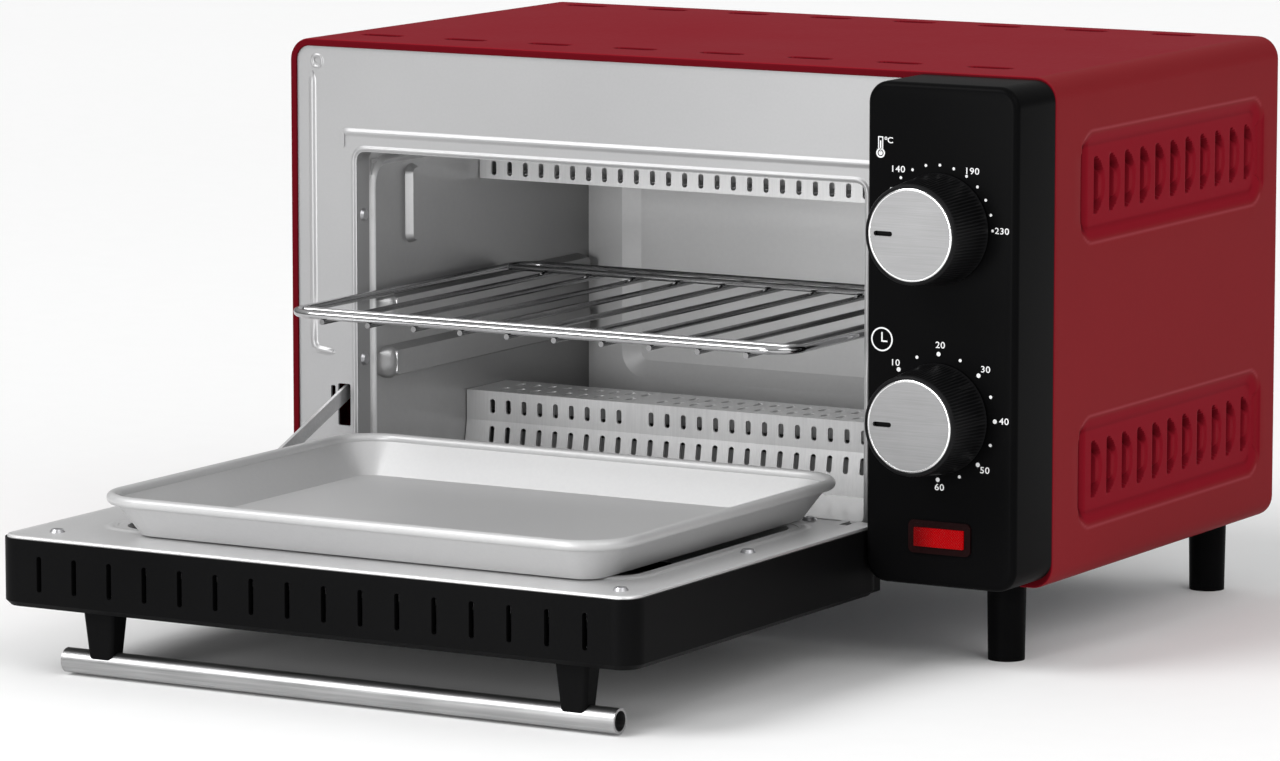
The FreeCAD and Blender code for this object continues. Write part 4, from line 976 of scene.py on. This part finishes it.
def add_prisms(finish):
    """Fine crossed prisms moulded in the lens, lit from behind towards its right half."""
    tree = finish.node_tree
    skin = tree.nodes["Principled BSDF"]
    where = put(tree, "ShaderNodeTexCoord")
    split = put(tree, "ShaderNodeSeparateXYZ")
    join(tree, where, "Object", split, "Vector")
    waves = []
    for sign in (1.0, -1.0):
        slant = put(tree, "ShaderNodeMath", {1: sign}, operation="MULTIPLY_ADD")
        join(tree, split, "Z", slant, 0)
        join(tree, split, "X", slant, 2)
        wave = put(tree, "ShaderNodeMath", {1: PRISM_PITCH / 2}, operation="PINGPONG")
        join(tree, slant, 0, wave, 0)
        waves.append(wave)
    crossed = put(tree, "ShaderNodeMath", operation="ADD")
    join(tree, waves[0], 0, crossed, 0)
    join(tree, waves[1], 0, crossed, 1)
    facets = put(tree, "ShaderNodeBump", {"Distance": PRISM_RELIEF})
    join(tree, crossed, 0, facets, "Height")
    join(tree, facets, "Normal", skin, "Normal")
    side = put(tree, "ShaderNodeMapRange", {"From Min": lamp_left + 0.0015,
                                            "From Max": lamp_left + 0.0090, "To Min": 0.10})
    join(tree, split, "X", side, "Value")
    sparkle = put(tree, "ShaderNodeMapRange", {"From Max": PRISM_PITCH, "To Min": 0.45})
    join(tree, crossed, 0, sparkle, "Value")
    both = put(tree, "ShaderNodeMath", operation="MULTIPLY")
    join(tree, side, "Result", both, 0)
    join(tree, sparkle, "Result", both, 1)
    glow = put(tree, "ShaderNodeMix", {"A": (0.02, 0.0, 0.0, 1),
                                       "B": (0.75, 0.0, 0.003, 1)}, data_type="RGBA")
    join(tree, both, 0, glow, "Factor")
    join(tree, glow, "Result", skin, "Emission Color")
    skin.inputs["Emission Strength"].default_value = GLOW_STRENGTH


add_prisms(lamp_red)
dress("indicator_bezel", lamp_bezel)
dress("indicator_lens", lamp_red)
dress("indicator_neon", neon_glass)


# ---- Inner works --------------------------------------------------------------------
# Behind the housing sit the clockwork timer and the thermostat in stamped cases, with
# the thermostat's copper bulb, a heat shield and the terminal block for the cord.
case_plated = lay_finish("case_plated", (0.55, 0.52, 0.42, 1), (0.4, 0.38, 0.32, 1), (0.25, 0.45),
                         metal=0.85, patch=50.0, grain=700.0, relief=0.00001)
copper_tube = lay_finish("copper_tube", (0.75, 0.36, 0.22, 1), (0.5, 0.22, 0.13, 1), (0.2, 0.4), metal=0.95,
                         patch=120.0, grain=700.0, relief=0.00001)
terminal_moulding = lay_finish("terminal_moulding", (0.5, 0.48, 0.42, 1), (0.4, 0.38, 0.33, 1), (0.4, 0.55),
                               patch=90.0, grain=1400.0, relief=0.00001)
dress("thermostat_case", case_plated)
dress("timer_case", case_plated)
dress("thermostat_bulb", copper_tube)
dress("heat_shield", zinc_sheet)
dress("terminal_block", terminal_moulding)


# ---- Door ---------------------------------------------------------------------------
# The door is a moulded black frame that carries toughened glass in a rubber gasket and
# a pressed steel liner on the oven side, fixed with countersunk cross-head screws.
door_black = lay_finish("door_black", (0.0050, 0.0050, 0.0052, 1), (0.0032, 0.0032, 0.0034, 1),
                        (0.32, 0.44), patch=14.0, grain=1500.0, relief=0.00001, shine=0.025)
gasket_rubber = lay_finish("gasket_rubber", (0.02, 0.02, 0.02, 1), (0.012, 0.012, 0.012, 1), (0.6, 0.75),
                           patch=60.0, grain=1500.0, relief=0.00002)
liner_steel = lay_finish("liner_steel", (0.80, 0.80, 0.80, 1), (0.71, 0.71, 0.715, 1), (0.30, 0.37),
                         metal=0.6, patch=9.0, grain=900.0, relief=0.0000005, streak=0.3)
door_glass = lay_finish("door_glass", (0.03, 0.03, 0.032, 1), (0.02, 0.02, 0.022, 1), (0.02, 0.06),
                        patch=10.0, grain=300.0, relief=0.0000005)
dress("door_frame", door_black)
dress("door_glass", door_glass)
dress("door_glass_gasket", gasket_rubber)
dress("door_inner_panel", liner_steel)
dress("door_panel_screws", screw_steel)
liner_low, liner_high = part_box("door_inner_panel")
LINER_TOP = liner_high.z - 0.0003
RIM_R = 0.0011
RIM_BURIED = 0.0002
NOTCH_PLAY = 0.0025
NOTCH_DEEP = 0.003
STEP_OUT = 0.0022
STEP_WIDE = 0.0062
STEP_HIGH = 0.0005


def tube_round(path, r, place, sides=12):
    """Closed round tube over a closed path; place(u, v, out) gives the point in space."""
    total = len(path)
    points = []
    for k in range(total):
        along = (path[(k + 1) % total] - path[k - 1]).normalized()
        across = Vector((-along.y, along.x))
        for j in range(sides):
            a = 2 * math.pi * j / sides
            spot = path[k] + across * (r * math.cos(a))
            points.append(place(spot.x, spot.y, r * math.sin(a)))
    faces = []
    for k in range(total):
        n = (k + 1) % total
        for j in range(sides):
            m = (j + 1) % sides
            faces.append((k * sides + j, k * sides + m, n * sides + m, n * sides + j))
    return points, faces


def on_liner(x, y, out):
    """Point on the liner's inner side, raised from it."""
    return (x, y, LINER_TOP + out)


def box_path(low, high, grow, corner):
    """Rounded path round a box seen from above, grown outwards."""
    x0, x1 = low.x - grow, high.x + grow
    y0, y1 = low.y - grow, high.y + grow
    return turned_path([(x0, y0), (x1, y0), (x1, y1), (x0, y1)], corner, 0.004, closed=True)


def build_liner_edges():
    """Rolled rim of the liner, open at the hinge notches, and the soft step round its window."""
    path = box_path(liner_low, liner_high, RIM_BURIED - RIM_R, 0.0075)
    points, faces = tube_round(path, RIM_R, lambda u, v, out: (u, v, LINER_TOP - RIM_R + 0.00025 + out))
    hinge_side = liner_high.y - (RIM_R - RIM_BURIED) - NOTCH_DEEP
    for bracket in ("hinge_bracket_left", "hinge_bracket_right"):
        low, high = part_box(bracket)
        notched = {i for i, (x, y, z) in enumerate(points)
                   if y > hinge_side and low.x - NOTCH_PLAY < x < high.x + NOTCH_PLAY}
        faces = [face for face in faces if notched.isdisjoint(face)]
    window = box_path(*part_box("door_glass"), STEP_OUT, 0.016)
    step = swell_along(window, STEP_WIDE, STEP_HIGH, on_liner, closed=True)
    points, faces = gather([(points, faces), step])
    skin_piece("liner_rim_and_step", points, faces, liner_steel, "door")


build_liner_edges()


# ---- Handle -------------------------------------------------------------------------
# The handle is a stainless steel tube, brushed along its length, on two moulded posts
# that are screwed to the door's front.
brushed_tube = lay_finish("brushed_tube", (0.46, 0.46, 0.462, 1), (0.32, 0.32, 0.323, 1), (0.30, 0.38),
                          metal=1.0, stretch=(0.02, 1, 1), patch=30.0, grain=1500.0, relief=0.000002,
                          streak=0.7)
dress("handle_tube", brushed_tube)
dress("handle_post_left", door_black)
dress("handle_post_right", door_black)
dress("handle_screws", screw_steel)


# ---- Hinges and stays ---------------------------------------------------------------
# The door turns on two plated brackets with pins. A flat stay arm on the left hooks
# into a slot of the facia and holds the open door level.
plated_steel = lay_finish("plated_steel", (0.78, 0.78, 0.78, 1), (0.62, 0.62, 0.63, 1), (0.30, 0.40),
                          metal=0.8, patch=90.0, grain=700.0, relief=0.000006)
for node in ("hinge_bracket_left", "hinge_bracket_right", "hinge_pin_left", "hinge_pin_right",
             "stay_arm", "stay_ear"):
    dress(node, plated_steel)


# ---- Baking tray --------------------------------------------------------------------
# The tray is pressed from aluminised sheet with sloped walls and a rolled rim. It lies
# on the open door.
tray_grey = lay_finish("tray_grey", (0.53, 0.53, 0.53, 1), (0.485, 0.485, 0.49, 1), (0.40, 0.48),
                       metal=0.35, patch=9.0, grain=700.0, relief=0.000005, streak=0.4)
dress("baking_tray", tray_grey)


# ---- Wire shelf ---------------------------------------------------------------------
# The shelf is spot-welded from chromed steel wire. It lies on the pressed runners and is
# drawn partly out; its bars get a darker copy of the chrome, as painted shade.
bright_chrome = lay_finish("bright_chrome", (0.50, 0.50, 0.505, 1), (0.40, 0.40, 0.405, 1), (0.08, 0.18),
                           metal=1.0, patch=80.0, grain=500.0, relief=0.0000006)
shaded_bar_chrome = lay_finish("shaded_bar_chrome", (0.30, 0.30, 0.303, 1), (0.20, 0.20, 0.203, 1), (0.12, 0.22),
                         metal=1.0, patch=80.0, grain=500.0, relief=0.0000006)
dress("wire_rack", bright_chrome)
dress("rack_bars", shaded_bar_chrome)


# ---- Studio -------------------------------------------------------------------------
# A plain pale floor of paper, two broad suns, one soft box in front of the mouth, and a
# camera in front of the right-hand corner. None of it belongs to the oven.
CAMERA_AT = Vector((1.2936, cover_low.y - 2.2503, cover_low.z + 0.4413))
CAMERA_YAW = math.radians(30.07)
CAMERA_PITCH = math.radians(8.15)
CAMERA_LENS = 184.8
FLOOR_XS = (-7.0, 7.0)
FLOOR_YS = (-7.0, 0.0, 9.0)
AIR_STRENGTH = 0.62


def lay_floor(finish):
    """Wide level floor."""
    mesh = bpy.data.meshes.new("studio_floor")
    points = [(x, y, 0.0) for y in FLOOR_YS for x in FLOOR_XS]
    mesh.from_pydata(points, [], grid_faces(len(FLOOR_YS), len(FLOOR_XS)))
    mesh.shade_smooth()
    mesh.materials.append(finish)
    add_object("studio_floor", mesh)


def soft_lamp(name, place, aim, size, power):
    """Square soft box at a place, turned to a point."""
    light = bpy.data.lights.new(name, "AREA")
    light.shape = "SQUARE"
    light.size = size
    light.energy = power
    lamp = add_object(name, light)
    lamp.location = place
    lamp.rotation_euler = (Vector(aim) - Vector(place)).to_track_quat("-Z", "Y").to_euler()


def soft_sun(name, place, strength, spread):
    """Broad even light from one direction."""
    light = bpy.data.lights.new(name, "SUN")
    light.energy = strength
    light.angle = math.radians(spread)
    lamp = add_object(name, light)
    lamp.rotation_euler = (-Vector(place)).to_track_quat("-Z", "Y").to_euler()


def build_air():
    """Studio air: bright overhead, dimmer towards the horizon."""
    air = bpy.data.worlds.new("studio_air")
    air.use_nodes = True
    tree = air.node_tree
    where = put(tree, "ShaderNodeTexCoord")
    split = put(tree, "ShaderNodeSeparateXYZ")
    ramp = put(tree, "ShaderNodeMapRange", {"From Min": 0.0, "From Max": 0.75, "To Min": 0.22,
                                            "To Max": 1.08})
    join(tree, where, "Generated", split, "Vector")
    join(tree, split, "Z", ramp, "Value")
    tree.links.new(ramp.outputs["Result"], tree.nodes["Background"].inputs["Color"])
    tree.nodes["Background"].inputs["Strength"].default_value = AIR_STRENGTH
    bpy.context.scene.world = air


floor_paper = lay_finish("floor_paper", (0.94, 0.94, 0.94, 1), (0.925, 0.925, 0.925, 1), (0.7, 0.8),
                         patch=1.0, grain=60.0, relief=0.0000005, shine=0.1)
lay_floor(floor_paper)
soft_sun("key_light", (-1.0, -1.4, 1.6), 1.5, 30)
soft_sun("fill_light", (1.6, -0.7, 1.2), 0.85, 45)
soft_lamp("mouth_lamp", (-0.12, -1.4, 0.26), (-0.03, 0.1, 0.12), 0.45, 8.0)
build_air()
bpy.context.scene.view_settings.view_transform = "Standard"

lens = bpy.data.cameras.new("front_camera")
lens.lens = CAMERA_LENS
lens.sensor_width = 36.0
camera = add_object("front_camera", lens)
to_back = Vector((math.sin(CAMERA_YAW) * math.cos(CAMERA_PITCH),
                  -math.cos(CAMERA_YAW) * math.cos(CAMERA_PITCH), math.sin(CAMERA_PITCH)))
to_right = Vector((math.cos(CAMERA_YAW), math.sin(CAMERA_YAW), 0.0))
to_top = to_back.cross(to_right)
turn = Matrix((to_right, to_top, to_back)).transposed().to_4x4()
camera.matrix_world = Matrix.Translation(CAMERA_AT) @ turn
bpy.context.scene.camera = camera
